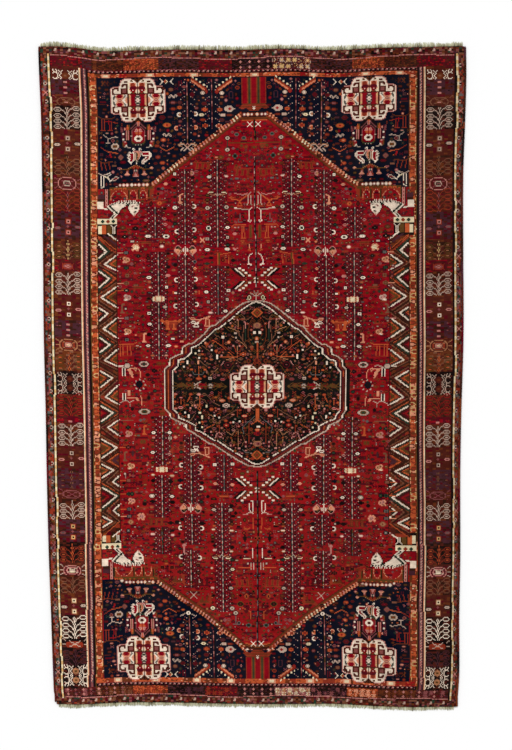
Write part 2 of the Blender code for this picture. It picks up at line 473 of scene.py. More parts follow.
# %% Panels of the main border
WHITE_LEAVES = (garden, "ll", "ll")
PANELS = (  # low, high, ground, what grows, its wools
    (326, 340, "x", LOZENGE_SPRAY, "wfb", ""), (309, 325, "u", beads, "pu", "k"),
    (297, 308, "x", bloom, "fxxbpp", "f"), (271, 296, "k", *WHITE_LEAVES),
    (243, 270, "x", columns, "lf", "lv"), (220, 242, "d", garden, "fx", "ff"),
    (204, 219, "x", bloom, "pxmxlg", "i"), (180, 203, "x", garden, "ex", "ie"),
    (150, 179, "u", columns, "pe", "iq"), (127, 149, "d", garden, "vt", "yf"),
    (114, 126, "m", bloom, "xmeip", "e"), (88, 113, "d", *WHITE_LEAVES), (60, 87, "x", columns, "wb", "pm"),
    (41, 59, "u", beads, "pu", "i"), (26, 40, "x", bloom, "txexpc", "t"), (4, 25, "b", garden, "vo", "of"),
    (-22, 3, "k", LOZENGE_SPRAY, "lbx", ""), (-46, -23, "d", garden, "se", "es"),
    (-54, -47, "m", beads, "pse", "s"), (-79, -55, "d", *WHITE_LEAVES),
    (-104, -80, "x", columns, "lx", "pm"), (-126, -105, "u", garden, "uf", "fu"),
    (-137, -127, "x", bloom, "ixxmep", "i"), (-160, -138, "d", *WHITE_LEAVES),
    (-185, -161, "u", columns, "ye", "iq"), (-208, -186, "k", garden, "eo", "oe"),
    (-222, -209, "x", bloom, "pmpmcw", "l"), (-242, -223, "d", garden, "fx", "ff"),
    (-266, -243, "x", columns, "ct", "lg"), (-292, -267, "k", garden, "wx", "ww"),
    (-302, -293, "k", bloom, "eeeooe", "l"), (-322, -303, "k", garden, "uu", "uu"),
    (-345, -323, "k", LOZENGE_SPRAY, "wvt", ""),
)
PANEL_MIDDLE = 205
SHADES = {"d": "xxddbx", "k": "kkdxk", "x": "xxxmbx", "u": "uuxdum", "m": "mmxmr", "b": "bbxxfb"}
for low, high, ground, grows, wools, others in PANELS:
    for side in (-1, 1):
        left, right = sorted((side * (191 + creep(low)), side * 220))
        mottle(left, right, low - 1, high + 1, SHADES[ground], size=(4, 2))
        at = side * round(PANEL_MIDDLE + creep(low) / 2)
        if callable(grows):
            grows(at, low, high, wools, others)
        else:
            for at_row in range(low + 6, high - 2, 13):
                sew(grows, at, at_row, wools, twin=False, upside_down=at_row == low + 6 and low < 300)
for side in (-1, 1):
    for at_row in range(-357, 355):
        wave = round(0.6 * math.sin(at_row / 23 + side) + 0.5 * math.sin(at_row / 7.1))
        c = side * (222 + (side > 0) + side * max(0, side * wave))
        fill(side * 221, side * 224, at_row, at_row, "k")
        fill(c, c + side, at_row, at_row, "ycycycc"[at_row // 4 % 7])
print(f"main border: {len(PANELS)} panels on each side")

# %% [markdown]
# ## The field and its corners
# The field is crimson at the wide end. Below the middle the weaver started a new vat that came out more
# orange, and worked both together for some rows. Weavers call this change of shade abrash. The four corners
# and the two ends of the field are cut off by stepped lines, and behind them the ground is night blue.

# %% Ground of the field and corners
FIELD_HALF, FIELD_TOP, FIELD_BOTTOM = 171, 332, -336
STEPPED_LINE = (  # knots from the middle, row at the wide end, row at the narrow end
    (0, 291, -306), (15, 291, -304), (22, 285.4, -297), (42, 269.5, -281), (62, 253.6, -265),
    (83, 236.9, -251), (102, 221.8, -238), (113, 213, -230), (151, 213, -230), (156, 208, -226),
    (172, 208, -226),
)
from_edge, top_edge, bottom_edge = np.array(STEPPED_LINE, dtype=float).T
in_field = (distance <= FIELD_HALF) & (row <= FIELD_TOP) & (row >= FIELD_BOTTOM)
chart[in_field & (row < -18)] = "s"
corner_up = in_field & (row > np.interp(from_middle, from_edge, top_edge))
corner_down = in_field & (row < np.interp(from_middle, from_edge, bottom_edge))
chart[corner_up | corner_down] = "n"
in_ground = in_field & ~corner_up & ~corner_down
print(f"field: {int(in_ground.sum())} knots of red, {int((corner_up | corner_down).sum())} of night blue")

# %% The stepped lines
STEP_SQUARE = motif(".11. 1221 1221 .11.")
for edge_rows, out in ((top_edge, 1), (bottom_edge, -1)):
    for at in np.arange(0, 152, 0.5):
        edge = float(np.interp(at, from_edge, edge_rows))
        layers = ((3, 1, "k"), (-3, 6, "e"), (-5, 2, "bv"[int(at) % 3 > 1]), (-6, 1, "x"))
        if at < 14 or at > 113:
            layers = ((2, 1, "k"), (-2, 4, "x"), (-3, 1, "k"), (-6, 3, "b"), (-7, 1, "o"))
        for way in (-1, 1):
            c = middle(edge) + way * at
            for shift, thick, wool in layers:
                fill(c, c, edge + out * shift, edge + out * (shift + thick - 1), wool)
    for at in np.arange(1, 152, 4.3):
        edge = float(np.interp(at + 2, from_edge, edge_rows))
        if at < 14 or at > 113:
            for way in (-1, 1):
                c, wools = middle(edge) + way * (at + 2), pick(["pw", "aw", "iw", "lw", "ew"])
                sew(STEP_SQUARE, c, edge, wools, twin=False)
    for n, at in enumerate(np.arange(15, 113, 1.5)):
        edge = float(np.interp(at + 1, from_edge, edge_rows))
        for way in (-1, 1):
            c = middle(edge) + way * at
            wool = pick("acap" if n % 2 else "xbxe")
            thread(((c, edge - out), (c + way, edge + out * 2)), wool, width=2, twin=False)
            fill(c, c, edge + out * 2, edge + out * 2, "o")
            fill(c + way, c + way, edge - out * 2, edge - out * 2, pick("xboe"))
for low, high in ((190, 208), (-226, -208)):
    axis = middle(low)
    fill(-164, -160, low, high, "k", axis=axis)
    fill(-163, -161, low, high, "p", axis=axis)
    for at_row in range(low + 1, high, 4):
        fill(-162, -162, at_row, at_row + 1, "e", axis=axis)
print("stepped lines sewn")

# %% [markdown]
# ## Hooked emblem
# This device stands in all four corners and once more in the middle of the medallion. It is the same on both
# sides of both its axes, so only its upper right quarter is drawn, 31 knots wide and 25 high.

# %% Hooked emblem
HOOKED_EMBLEM = motif("""
kkbkkk.wwwwwwww
kbkbkxwwwwwwwwwww
kkbxwwvvwwwwwwwwwww
kbxwwvvvwwwxxxxwwww
kxwwwwwwwwcxxxxwwww
xwaaeeeaawcwwwwwwwww
xwaeeeeeawcxxxxxxwww
xwaeeeeeawcxxxxxxxww
xwaeeeeeawcxxwwxxxwww
xammmmmmawcxxwwwxxwwwwwwwwww
xmmmmmmmmwcxxwwwwwwwwxxxxxxwww
xmmmmmmmmwcxxxxxxxxwwxxxxxxxxww
xammrrrmmacxxiffixxwwxxwwwxxxww
xwamrwrmaccxxiiiixxwwxxwwwwxxww
xwamrrrmawcxxififxxwwwwwwwwxxww
xwcvrrvcwccxxiiiixxwwwwwwwwxxww
xcvxeexvcccxxxxxxxxwwwwwwwxxxww
xxxxxxxxxxxxxxxxxxxxxxxxxxxxxww
uuurrrrrraxxwwqwaarrrrrawwqwwww
llurrrrrayxxwqqwarrmrrrraqqwwww
ggurrrrryyxxwwgqarrrmrrraqgqwww
gglurrrrayxxawwqaarrrrraawgqwww
wlgurrrraaxxaawwqaaaaaaawwqgwww
wwiurrrraaxxaawwwaaiiiaawwwqwww
iwwirrrraaxxaaawwwiaaaiwwwwwwww
""", "left down")
sewn = {(across, up) for across, up, _ in HOOKED_EMBLEM}
HOOKED_EMBLEM = [
    (a, u, "p" if dye == "w" and not {(a + 1, u), (a - 1, u), (a, u + 1), (a, u - 1)} <= sewn else dye)
    for a, u, dye in HOOKED_EMBLEM]
MIDLINE = 0.5  # the corners mirror about this column
for at_column, at_row in ((-126, 307), (-128, -315)):
    sew(HOOKED_EMBLEM, at_column, at_row, axis=MIDLINE)
print("four corner emblems sewn")

# %% [markdown]
# Under each emblem stands a niche with a plant in it, like a small window, between two posts with blossoms.
# Below that comes a beast with a great fanned tail, and a bough with three fruits.

# %% Niche, beast and bough of the corners
NICHE = motif("""
kk
vkk
ookkk
opikkk
opiukkk
opkiukkk
opkkiukkk.vvo
iikkkiukk.vvok
mmiikkiuk.vooe...mmi
mmmmikkiikvooeepmuui
rrpmmikkikvooepa.uii
rapprmikkkvooeep.imi
raiprmmikk.pvp...mim
rpppprmikkrpvpm..iui
rooosrrikkmpvpm...m
rooosrrikkrpvpm.wwm
roosrrrikkmpvpm.wwm
rssrrrrikkrpvpm.mmm
rwwsrrrllkmpvpm.muu
wwwwsrrikkrpvpm.muu
xxwwwrrikkmpvpm.uum
kxxwwrrikkrpvpm.wwm
kxwwwrrikkmpvpm.wwm
wwwwrrrik.kkkk
wwwrrrrvk.....ppii
rrmrrmvvk....spprvk
mmrmmvvk.....srrevk
gggggggk.....rreevk
lgklgkk......wperv
..kkkkk......wwevv
............lqllv
.........lllq
""", "left")
BEAST = motif("""
......ww.....ww..............
......w.w....w.w
.......w.....w
......uppppppppp
..ww..wppxaappppmwwwwwwww
.wrww.wwxlgaolxwrrrrrrrrww
..wrrrrwtlxvaolkwrrsrrrrwww
wwwrrrrwtlxvaolkwrrrrrrrwlw
.lwwrrrwtlgvaolkkwwwwwwwwlw
.wrrrrrwtlgtaol..kkmmkmrwww
ll.wrrrwtlgvolk....mwwrrww
.wwrrrrwtlgtol.....mwkrrw
..wwrrrwtlvolk....wwmrrww
.lwrrrwwtglkkk...wwrrww
.ww.rrw.kgllgk..wwrwww
..wwww...gkkkgg.wrwww
...ww.....wg....wmw
....w.....w.....lww
""")
BOUGH = motif("""
v
evt
eeevt
keeeevt..........aa
keeekvvvt.......aaap
kkmmkk.vvvvvvvvvvvp
.lik....bebk
.lik....bibk
.uik....bppk
pei.....bppk
peik....aaaa
ppee...aappaa
ppeek...iiii
pppi
""", "left")
sew(NICHE, -126, 270, axis=MIDLINE)
sew(NICHE, -129, -279, upside_down=True, axis=MIDLINE)
sew(BEAST, -124, 245, axis=MIDLINE)
sew(BEAST, -127, -259, axis=MIDLINE)
sew(BOUGH, -129, 229, axis=MIDLINE)
sew(BOUGH, -133, -243, upside_down=True, axis=MIDLINE)
print("niches, beasts and boughs sewn")

# %% [markdown]
# ## Buds, trees and combs
# Most of the small flowers are ovals, so `bud` makes them from their size and the wools from rim to heart. A
# tree is a straight stem with dotted twigs that slant outward, with buds hung on both sides of it.

# %% Buds, trees and combs
TWIG_LONG = 8


def tree(stem, top, bottom, wools, pitch=8, up=True, shadow=""):
    """A stem from row top to bottom with dotted twigs every pitch rows, mirrored across the rug."""
    axis = middle((top + bottom) / 2)
    lean = 1 if up else -1
    for at_row in range(int(bottom), int(top) + 1):
        for side in (-1, 1):
            for k in range(1, TWIG_LONG + 2):
                if shadow and draw.random() < 0.7:
                    sew([(0, 0, pick(shadow))], stem + side * k + (side > 0), at_row, axis=axis)
            for k in range(2, TWIG_LONG):
                slope = (at_row * lean + 0.75 * k) % pitch
                if slope < 1 and k % 2:
                    sew([(0, 0, "il"[k % 4 > 1])], stem + side * k + (side > 0), at_row, axis=axis)
                elif shadow and slope < 2.4:
                    sew([(0, 0, shadow[0])], stem + side * k + (side > 0), at_row, axis=axis)
        sew([(0, 0, wools[at_row // 3 % len(wools)]), (1, 0, "k")], stem, at_row, axis=axis)


CROWN = motif("""
p...ttttt
kp.tllllttt
k.tlkk..llt
ktlk..tttt
plk
lpk.ll
.llk.ll
..llk.ll
...ll..l
""", "left")
CORNER_COMB = []  # it slants down to the right
for i in range(17):
    drop = round((i - 8.5) * 0.73)
    teeth = ((4, "c"), (5, "c")) if i % 4 < 2 else ()
    CORNER_COMB += [(i - 8, height - drop, dye) for height, dye in zip((-1, 0, 1, 2, 3), "oaoee")]
    CORNER_COMB += [(i - 7, height - drop, dye) for height, dye in teeth]
S_HOOK = motif("..ll...ll. .l.ll.l.ll l.l.lll.l. ll...ll...")
BRACKET = motif(".111 1133 1.33 1133 .111")
WIDE_EYE = motif("""
...11111
.11144411
1144433411
114433334411
1144433411
.11144411
...11111
""")
BIG_ROSETTE = motif("..11.11.. .1111111. 112222211 112232211 112222211 .1111111. ..11.11..")
STAR = motif("1.1.1.1 .11211. 1123211 .11211. 1.1.1.1")
DRAWINGS = {
    "comb": CORNER_COMB, "hook": S_HOOK, "bracket": BRACKET, "eye": WIDE_EYE, "rosette": BIG_ROSETTE,
    "zigzag": motif("w...  .w..  ..w.  ..ww  ..w.  .w..  w..."),
    "pearl": motif("..p.. .ooc. poboc .obc. ..c.."),
    "cup": motif(".uuu. u...u u...u u...u u...u u...u u...u uu.uu"),
}


def scatter(places, place=sew, **others):
    """Sew drawings from text with a stroke between them: name, column,row and wools. A < turns one round."""
    for entry in places.split("/"):
        name, spot, *wools = entry.split()
        at_column, at_row = map(int, spot.split(","))
        place(DRAWINGS[name.strip("<")], at_column, at_row, "".join(wools), turned="<" in name, **others)


print(f"{len(DRAWINGS)} drawings for the corners")

# %% Tables of the corners
CORNER_LINES = line_table("""
b -171,289 -166,287 -155,287 -152,289 / e -167,286 -167,275 / e -164,286 -164,275 / e -168,274 -163,274 /
s -159,285 -158,275 / e -156,283 -156,275 / e -160,274 -155,274 / s2 -163,284 -157,284 /
e2 -154,283 -150,282 / l -165,269 -160,265 -153,266 / l2 -152,267 -150,266 / l -160,264 -160,261 /
l2 -162,260 -159,260 / e -168,255 -160,250 / o -160,250 -151,249 / o2 -152,249 -150,248 /
s2 -158,248 -157,244 / b -171,240 -166,238 -155,239 / e -168,238 -167,230 / e -164,237 -162,230 /
e -159,238 -158,231 / o -102,254 -98,251 -94,250 -87,254 / l -171,226 -166,224 -160,226 /
w -168,223 -168,212 / w -165,223 -165,211 -168,210 / c2 -164,223 -160,220 / w -160,222 -158,217 -156,218 /
w -161,225 -158,227 -157,225 -160,223 / l -156,219 -152,222 -148,221 -152,218 -156,219 /
s -153,220 -150,220
""")
LINES_IN_NARROW = 22  # the narrow end has only the first of these lines
CORNER_FIGURES = """
comb -59,322 / comb< -31,322 / rosette -152,256 lvs / hook -88,311 / bracket -85,275 axe /
bracket< -62,276 aoo / eye -26,297 lksl / zigzag -100,327 / zigzag< -88,327 / pearl -95,327 / cup -24,313
"""
CORNER_BUDS = bud_table("""
-51: 316 4x5 se; -39: 316 4x5 se; -55: 315 5x4 lw; -34: 315 5x4 lw; -56: 290 6x3 ct; -33: 290 7x3 lp
-80: 325 2x8 mi; -78: 325 1x8 m; -89: 318 6x5 xf; -80: 313 6x4 xm; -87: 304 8x4 xi; -80: 304 5x4 xu
-87: 297 8x4 xee; -80: 298 6x5 boe; -62: 298 5x4 xif; -66: 313 6x6 xm, 322 5x4 kxm; -99: 287 8x5 xmu
-91: 288 7x4 kum; -80: 283 5x4 xiu, 269 6x4 xei; -64: 283 4x4 xiu, 269 5x4 xe; -94: 279 10x6 vose
-93: 273 4x4 mr; -84: 262 7x4 kmu; -60: 262 7x4 kx; -98: 262 6x5 eoa, 320 5x4 kx; -92: 259 7x2 xv
-54: 309 4x3 xt; -34: 310 5x3 xt, 285 6x4 xui; -53: 303 6x4 xmk, 296 7x5 eos; -35: 303 5x5 kxb
-36: 296 6x5 eob; -55: 285 7x4 xeb; -52: 278 6x5 oes; -37: 278 6x5 aee; -51: 268 5x4 msp; -50: 271 4x4 kx
-17: 321 5x4 exi; -18: 313 4x5 kxi; -17: 309 4x4 mr; -26: 290 9x3 xei; -16: 301 6x4 kmm; -28: 283 7x4 kux
-22: 305 4x4 kx; -40: 270 6x3 kxu; -72: 245 6x4 kxe; -84: 252 6x4 kxi; -86: 244 6x5 kxe
""")


def corner(narrow):
    """The trees of one end's corners. The narrow end's ones stand a little further apart."""
    def turned_row(at_row):
        return round(-(at_row + 7 + (307 - at_row) * 0.05)) if narrow else at_row

    def place(stitches, c, r, wools="", turned=False):
        sew(stitches, c - 3 * narrow, turned_row(r), wools, upside_down=narrow, turned=turned, axis=MIDLINE)

    for stem, top, bottom, wools in ((-72, 326, 258, "piipiivv"), (-45, 330, 275, "uiumip")):
        low, high = sorted((turned_row(top), turned_row(bottom)))
        tree(stem - 3 * narrow, high, low, wools, up=not narrow)
    if narrow:
        thread(((-85, -268), (-80, -265), (-73, -265), (-68, -268)), "l", axis=MIDLINE)
        bud(-76, -264, 5, 4, "wk", axis=MIDLINE)
    else:
        place(CROWN, -72, 254)
    for wool, width, points in CORNER_LINES[:LINES_IN_NARROW if narrow else None]:
        thread([(c - 3 * narrow, turned_row(r)) for c, r in points], wool, width=width, axis=MIDLINE)
    place(S_HOOK, -94, 268 + 6 * narrow, turned=True)
    place(BRACKET, -82, 290 - 7 * narrow, "wwt")
    place(BRACKET, -62, 291 - 7 * narrow, "wwt", turned=True)
    scatter(CORNER_FIGURES, place)
    for c, r, wide, high, wools in CORNER_BUDS:
        bud(c - 3 * narrow, turned_row(r), wide, high, wools, axis=MIDLINE)


corner(False)
corner(True)
print("corner trees sewn")

# %% [markdown]
# ## Animals
# The weaver drew animals as sticks: a line for the back, thick legs with a foot, a knob for the head. Each is
# one small drawing with numbers for its wools, and a placement table says where it stands.

# %% Drawings of animals
STRIDER = motif("""
.11..................
1111...........111
.1111111111111111
..1122222222221111
...222222222221111
....2222..22..111
.....222...22.111
......22...22.111
......22...22.111
......22...22.111
.............11111
.............11111
""")
LEGGED = motif("""
....................111.
..................1111
.1111..........1111
122221......1111.1111
.111111111111....12221
..........11.....12221
..3333...11......12221
.344443.33.......12221
..33333333.......12221
.....3333........12221
.....3443.......122221
....344443......111111
....333333
""")
PACER = motif("""
..11..................
.1221.............11
11111111111111111111
...1221.12221.1221.1
...121...121...121
...121...121...121
...121...121...121
...121...121...121
..1221..1221..1221
..1111..1111..1111
""")
SMALL_FIGURE = motif("1..1. 11.11 .111. ..11. .1.1. 1..11")
DRAWINGS.update({"goat": STRIDER, "legged": LEGGED, "pacer": PACER})

for first, at_row in ((-164, 327), (-166, -328)):
    sew(SMALL_FIGURE, first, at_row, "b", turned=True, axis=MIDLINE)
    sew(SMALL_FIGURE, -160, at_row, "x", axis=MIDLINE)
EMBLEM_BUDS = bud_table("""
-145: 244 6x6 fif; -143: 238 9x5 kmr; -155: 271 4x4 mi; -166: 261 6x4 kmu; -165: 306 9x2 mi
-166: 303 7x1 x; -163: 298 6x4 kxu; -165: 294 5x4 ku; -160: 320 6x4 kxf; -153: 235 7x2 fi
-147: 232 4x2 ii; -104: 243 6x5 xei; -99: 237 6x4 eo; -117: 217 8x3 vi; -141: 218 8x4 kmm
-133: 218 4x3 kxi; -110: 221 4x2 mi; -112: 226 5x4 kvx; -104: 229 5x4 kxu; -107: 236 5x3 xm, 250 6x3 xmb
-106: 281 5x4 kmu; -168: 316 6x3 kx; -167: 247 6x5 kum; -105: 256 6x4 xei; -88: 239 6x4 kxe
-97: 244 5x3 kxv
""")
for c, r, wide, high, wools in EMBLEM_BUDS:
    bud(c, r, wide, high, wools, axis=MIDLINE)
    bud(c - 3, -r - 8 - round((307 - r) * 0.08), wide, high, wools, axis=MIDLINE)
print("corner animals and flowers sewn")

# %% [markdown]
# Three red stripes stand in the middle of each end, like a pole on a zigzag foot.

# %% Pole in the middle of each end
for low, high, foot, way in ((303, 331, 295, 1), (-336, -313, -309, -1)):
    axis = middle(high if way > 0 else low)
    for stripe in (-10, 0, 10):
        fill(axis + stripe - 2, axis + stripe + 2, low, high, "r")
        for edge in (-3, 3):
            fill(axis + stripe + edge, axis + stripe + edge, low, high, "e")
    for groove in (-5, 5):
        fill(axis + groove - 1, axis + groove + 1, low, high, "v")
        fill(axis + groove, axis + groove, low, high, "g")
    for k in range(8):
        at_row = (low if way > 0 else high) - way * (k + 1)
        spread = 12 + k if k < 5 else 17 - 3 * (k - 4)
        fill(axis - spread, axis + spread, at_row, at_row, "e" if k % 3 else "b")
        for tooth in (-9, 9):
            if k > 4:
                fill(axis + tooth - (k - 4), axis + tooth + (k - 4), at_row, at_row, "n")
    sew(motif("1.1 .1. 111 .1."), axis, foot + 3 * way, "w", twin=False)
print("poles sewn")

# %% [markdown]
# ## Horse-head ends
# Where the zigzag strips meet the stepped lines, a horse's head with a toothed mane looks towards the middle.
# It is drawn once, at the wide end's left, and `fold` folds each row over to the narrow end.

# %% Horse-head ends
HORSE_HEAD = motif("""
.............w..w..w.w..w.w..w.w......
...........w.wk.wk.wkwk.wkwk.wkwk
........wkwkwwkkwwkkwwkwwkwwkwwkwwkkw
.....wkwgkwwwgkwwgkwwgkwgkwgkwgkwgkkl
...wkggkwwwwwwwwwwwwwwggkkwwwwwwwwwk
.wkgkwwwwwwwwwwwwwwwwkkgkwwwwwwwlggw
wwggkwwwwwwwwwwwwwwwwk.kkwwwiilwwwlw
.wwggkwwwwwwwwwwwwwk...kwwwiiwwwwwww
kkwwggkwwwwwwwwwwkk....kwwwwwwlkkkww
.kkwwggkwwwwwwwwkk.....kwwwwwwlggkww
...kwwggkwwwwwwk........kwwwwwwwwwww
....kwwggkwwwwk.........kwwwwwwwwww
.....kkwwggkwwk..........kwwwwlggww
......kwwggkwk...........kwwwlgglw
.......kwwgkgk............kwwwllw
......kwwgwwk..............kwwlw
.....kwggww..................wpa
....kwgkww...................pp
...kwggww
..kwwggw
...wwww
""")
STRIP_END_BLOCKS = (  # first and last column, rows low and high, wool
    (-172, -151, 156, 169, "k"), (-171, -168, 159, 167, "c"), (-167, -163, 159, 168, "o"),
    (-161, -157, 159, 168, "v"), (-172, -151, 170, 175, "c"), (-172, -157, 176, 186, "m"),
    (-171, -158, 177, 185, "r"), (-172, -166, 187, 194, "wk"), (-171, -165, 195, 197, "d"),
    (-171, -165, 198, 202, "u"), (-158, -110, 197, 210, "e"), (-158, -110, 208, 210, "v"),
    (-166, -160, 186, 187, "wk"),
)
MANE_LINES = line_table("e2 -109,211 -111,204 -113,199 -117,197 -125,196 / e2 -106,198 -112,195 -118,193")


def strip_ends(narrow):
    """The ends of both zigzag strips at one end of the rug, with their horses' heads."""
    def fold(at_row):
        return round(2 * FIELD_TURN - at_row) if narrow else at_row

    axis = middle(fold(185))
    for first, last, low, high, wool in STRIP_END_BLOCKS:
        fill(first, last, fold(low), fold(high), wool, axis=axis)
    for c in range(-157, -112, 5):
        sew(motif("1111 1221"), c, fold(209), pick(["vo", "be", "oe"]), axis=axis)
    for first, last in ((-157, -139), (-136, -128), (-125, -117)):
        centre, half = (first + last) / 2, (last - first) / 2
        for k in range(11):
            reach = half * math.sqrt(max(0.0, 1 - max(0.0, (k - 2) / 8.6) ** 2))
            at_row = fold(196 + k)
            fill(centre - reach, centre + reach, at_row, at_row, "a" if k % 3 else "o", axis=axis)
            fill(centre - reach + 1, centre + reach - 1, at_row, at_row, "s" if k < 4 else "r", axis=axis)
    for c in (-159, -137, -126, -115):
        fill(c, c + 1, fold(197), fold(207), "v", axis=axis)
        fill(c, c, fold(198), fold(206), "k", axis=axis)
    for wool, width, points in MANE_LINES:
        thread([(c, fold(r)) for c, r in points], wool, width=width, axis=axis)
    for mark, shape, wool in ((-167, ".11. 1111 1111 .11.", "g"), (-161, ".11. 1221 1221 .11.", "ee"),
                              (-155, ".11. 1111 1111 .11.", "g")):
        sew(motif(shape), mark, fold(173), wool, axis=axis)
    sew(motif("w.....w .w...w. ..w.w.. ..wkw.. ..wkw.. ..wkw.. ..wkw.. ..wkw.. ..wkw.. ..wkw.."), -154,
        fold(164), upside_down=narrow, axis=axis)
    for k in range(14):
        at_row = fold(186 - k * 0.7)
        fill(-171 + round(0.3 * k), -160 - max(0, 5 - k), at_row, at_row, "r", axis=axis)
    sew(HORSE_HEAD, -143, fold(185), upside_down=narrow, axis=axis)


strip_ends(False)
strip_ends(True)
print("four horse-head ends sewn")

# %% [markdown]
# ## Zigzag strips
# Down each side of the field runs a strip of arrowheads. A white line with a dark one beside it makes each
# of them, a thin orange line runs between, and the ground is brown and maroon. A row of a table is one
# arrowhead: the column and row of its tip, the rows where its legs start, and where its dark line lies.

# %% Zigzag strips
STRIP_OUTER, STRIP_INNER = -171, -151
ARROWS_IN = (  # tips that point to the middle of the rug
    (-163, 139, 147, 132, "out"), (-160, 109, 117, 99, "out"), (-162, 70, 76, 62, "in"),
    (-160, 35, 43, 27, "out"), (-158, -2, 6, -12, "in"), (-158, -41, -33, -50, "out"),
    (-154, -80, -70, -91, "in"), (-158, -105, -98, -113, "in"), (-155, -134, -124, -146, "out"),
    (-161, -162, -156, -168, "in"),
)
ARROWS_OUT = (  # tips that point to the border
    (-165, 125, 135, 117, "in"), (-169, 88, 100, 76, "in"), (-167, 53, 65, 42, "in"),
    (-166, 18, 30, 10, "in"), (-166, -23, -10, -32, "in"), (-164, -57, -49, -67, "in"),
    (-163, -94, -86, -102, "plain"), (-159, -118, -111, -124, "in"), (-159, -150, -143, -157, "in"),
)
ARROW_LINES = {  # how far outside the white line each line lies, its wool and how wide it is
    "out": ((-10, "s", 3), (-7, "m", 3), (-4, "d", 3), (0, "w", 1), (2, "k", 1), (3, "g", 2), (8, "o", 1),
            (10, "d", 1)),
    "in": ((-11, "v", 3), (-7, "o", 1), (-3, "g", 1), (-2, "k", 2), (0, "w", 1), (7, "f", 1), (9, "d", 2)),
    "plain": ((-7, "u", 4), (0, "o", 1), (6, "d", 2)),
}
mottle(STRIP_OUTER, STRIP_INNER - 1, -177, 155, "bxxbdmxe", size=(5, 4))
mottle(2 - STRIP_INNER, 1 - STRIP_OUTER, -177, 155, "bxxbdmxe", size=(5, 4))
for arrows, start, way in ((ARROWS_IN, STRIP_OUTER, 1), (ARROWS_OUT, STRIP_INNER, -1)):
    for tip, tip_row, high, low, kind in arrows:
        reach = abs(tip - start)
        for c in np.arange(0, 21, 0.5):
            for leg in (high, low):
                slope = (leg - tip_row) / reach
                for shift, wool, width in ARROW_LINES[kind]:
                    for k in range(width):
                        out = shift + k
                        if c <= reach + out:
                            at_row = round(tip_row + slope * (reach + out - c))
                            clear = 4 if shift in (0, 2, -2) else 9
                            if min(high, low) - clear <= at_row <= max(high, low) + clear:
                                sew([(0, 0, wool)], start + way * round(c), at_row, axis=0)
for tip, tip_row, high, low, kind in ARROWS_IN + ARROWS_OUT:
    if kind != "plain":
        start = STRIP_OUTER if (tip, tip_row, high, low, kind) in ARROWS_IN else STRIP_INNER
        for leg in (high, low):
            thread(((start, leg), (tip, tip_row)), "w", width=2, axis=0)
for wool, width, points in line_table("""
w2 -161,159 -151,151 / u3 -166,157 -152,146 / o -172,157 -151,140 / e2 -174,155 -152,137 /
w2 -160,-179 -151,-172 / o -171,-178 -151,-162
"""):
    thread(points, wool, width=width, axis=0)
fill(STRIP_INNER, STRIP_INNER, -177, 156, "d", axis=0)
fill(STRIP_OUTER - 1, STRIP_OUTER - 1, -177, 158, "d", axis=0)
print("zigzag strips sewn")

# %% [markdown]
# ## The red field
# Pairs of trees stand close together all over the field, with a bud every few rows on both sides of each
# stem, and animals between them. The lower half repeats the upper one, but the weaver counted anew, so both
# have their own rows in the tables. The ground is never one red: other shades run in it in short streaks.

# %% Streaks of the ground
streak = draw.random((ROWS // 2 + 1, KNOTS // 7 + 1))
streak = np.kron(streak, np.ones((2, 7)))[:ROWS, :KNOTS]
plain_red = in_ground & np.isin(chart, ["r", "s"])
chart[plain_red & (streak > 0.62)] = "s"
chart[plain_red & (streak > 0.96)] = "e"
chart[plain_red & (streak < 0.16)] = "m"
print(f"streaks: {int((chart[plain_red] != 'r').mean() * 100)} of 100 knots of the ground are not crimson")

# %% Trees of the field
FLOWER = motif("""
..11.11...
.1112111
11122221
.12323221
..1222221
11222321
111.1111
.1...111
""")
HALF_FLOWER = motif("""
.112......
1122111
12322211
.1221321
.1122221
1144111
14411
""")
STEM_FLOWER = motif("""
.22
1112211
1113211
1112221
1113211
1112211
.22
""", "left")
FAN = motif("""
.......ppp
w.....pkkkp
w....pkvgkkp
w.w..kgvvkkp
w.wl.kvtaaaap
w.wl.taaaaaap
w.w.lkaaoaaap
w....kaaoaap
w....pkaaap
w.....pkap
.w.....pp
""", "left")
LEAF_PAIR = motif("""
......vvv
.....ccccc
...k......c
..lt..ttt
.l.tt
l.....t
""", "left")
BONE = motif("..111 .1111 .11.. .11.. .11.. .11.. .11.. .11.. .11.. 1111. 11111")
BENT_BONE = motif("....11 ..111. .11... .11... .11... .11... .11... .11... .11... 1111.. 11111. .111..")
BOW = motif("1...1 11.11 .111. .111. 11.11 1...1")
TABLE = motif("""
11111111111111
..2222222222
.111111111111
..11......11
..11......11
..1........1
""")
DRAWINGS.update({"flower": FLOWER, "half": HALF_FLOWER, "bone": BONE, "bent": BENT_BONE, "bow": BOW,
                 "table": TABLE})
STEMS = (  # column, top and bottom row and wools: the upper half's stems, then the lower half's
    (-39, 240, 143, "llqlqqli"), (-39, 122, 68, "qqlqiq"), (-75, 229, 146, "lqilqv"),
    (-75, 133, 40, "lilqil"), (-108, 187, 153, "qqlqli"), (-105, 137, 18, "lqliql"),
    (-102, -46, -100, "lqlvl"), (-103, -112, -158, "lqlql"), (-104, -170, -199, "vqvgq"),
    (-70, -66, -143, "lqlvlq"), (-70, -155, -188, "lqlq"), (-72, -195, -236, "lqlvl"),
    (-33, -88, -128, "qqlqq"), (-36, -142, -262, "lqlqlq"),
)
for stem, top, bottom, wools in STEMS:
    tree(stem, top, bottom, wools, pitch=6, up=top > 0, shadow="mmukxm")
sew(FAN, -75, 139)
sew(FAN, -71, -148, upside_down=True)
sew(LEAF_PAIR, -39, 203)
sew(LEAF_PAIR, -37, -202, upside_down=True)
sew(STEM_FLOWER, -105, 85, "cab")
sew(STEM_FLOWER, -103, -105, "cab")
sew(STAR, -105, 13, "bve")
sew(STAR, -102, -43, "bve")
sew(STAR, -124, -74, "vbe")
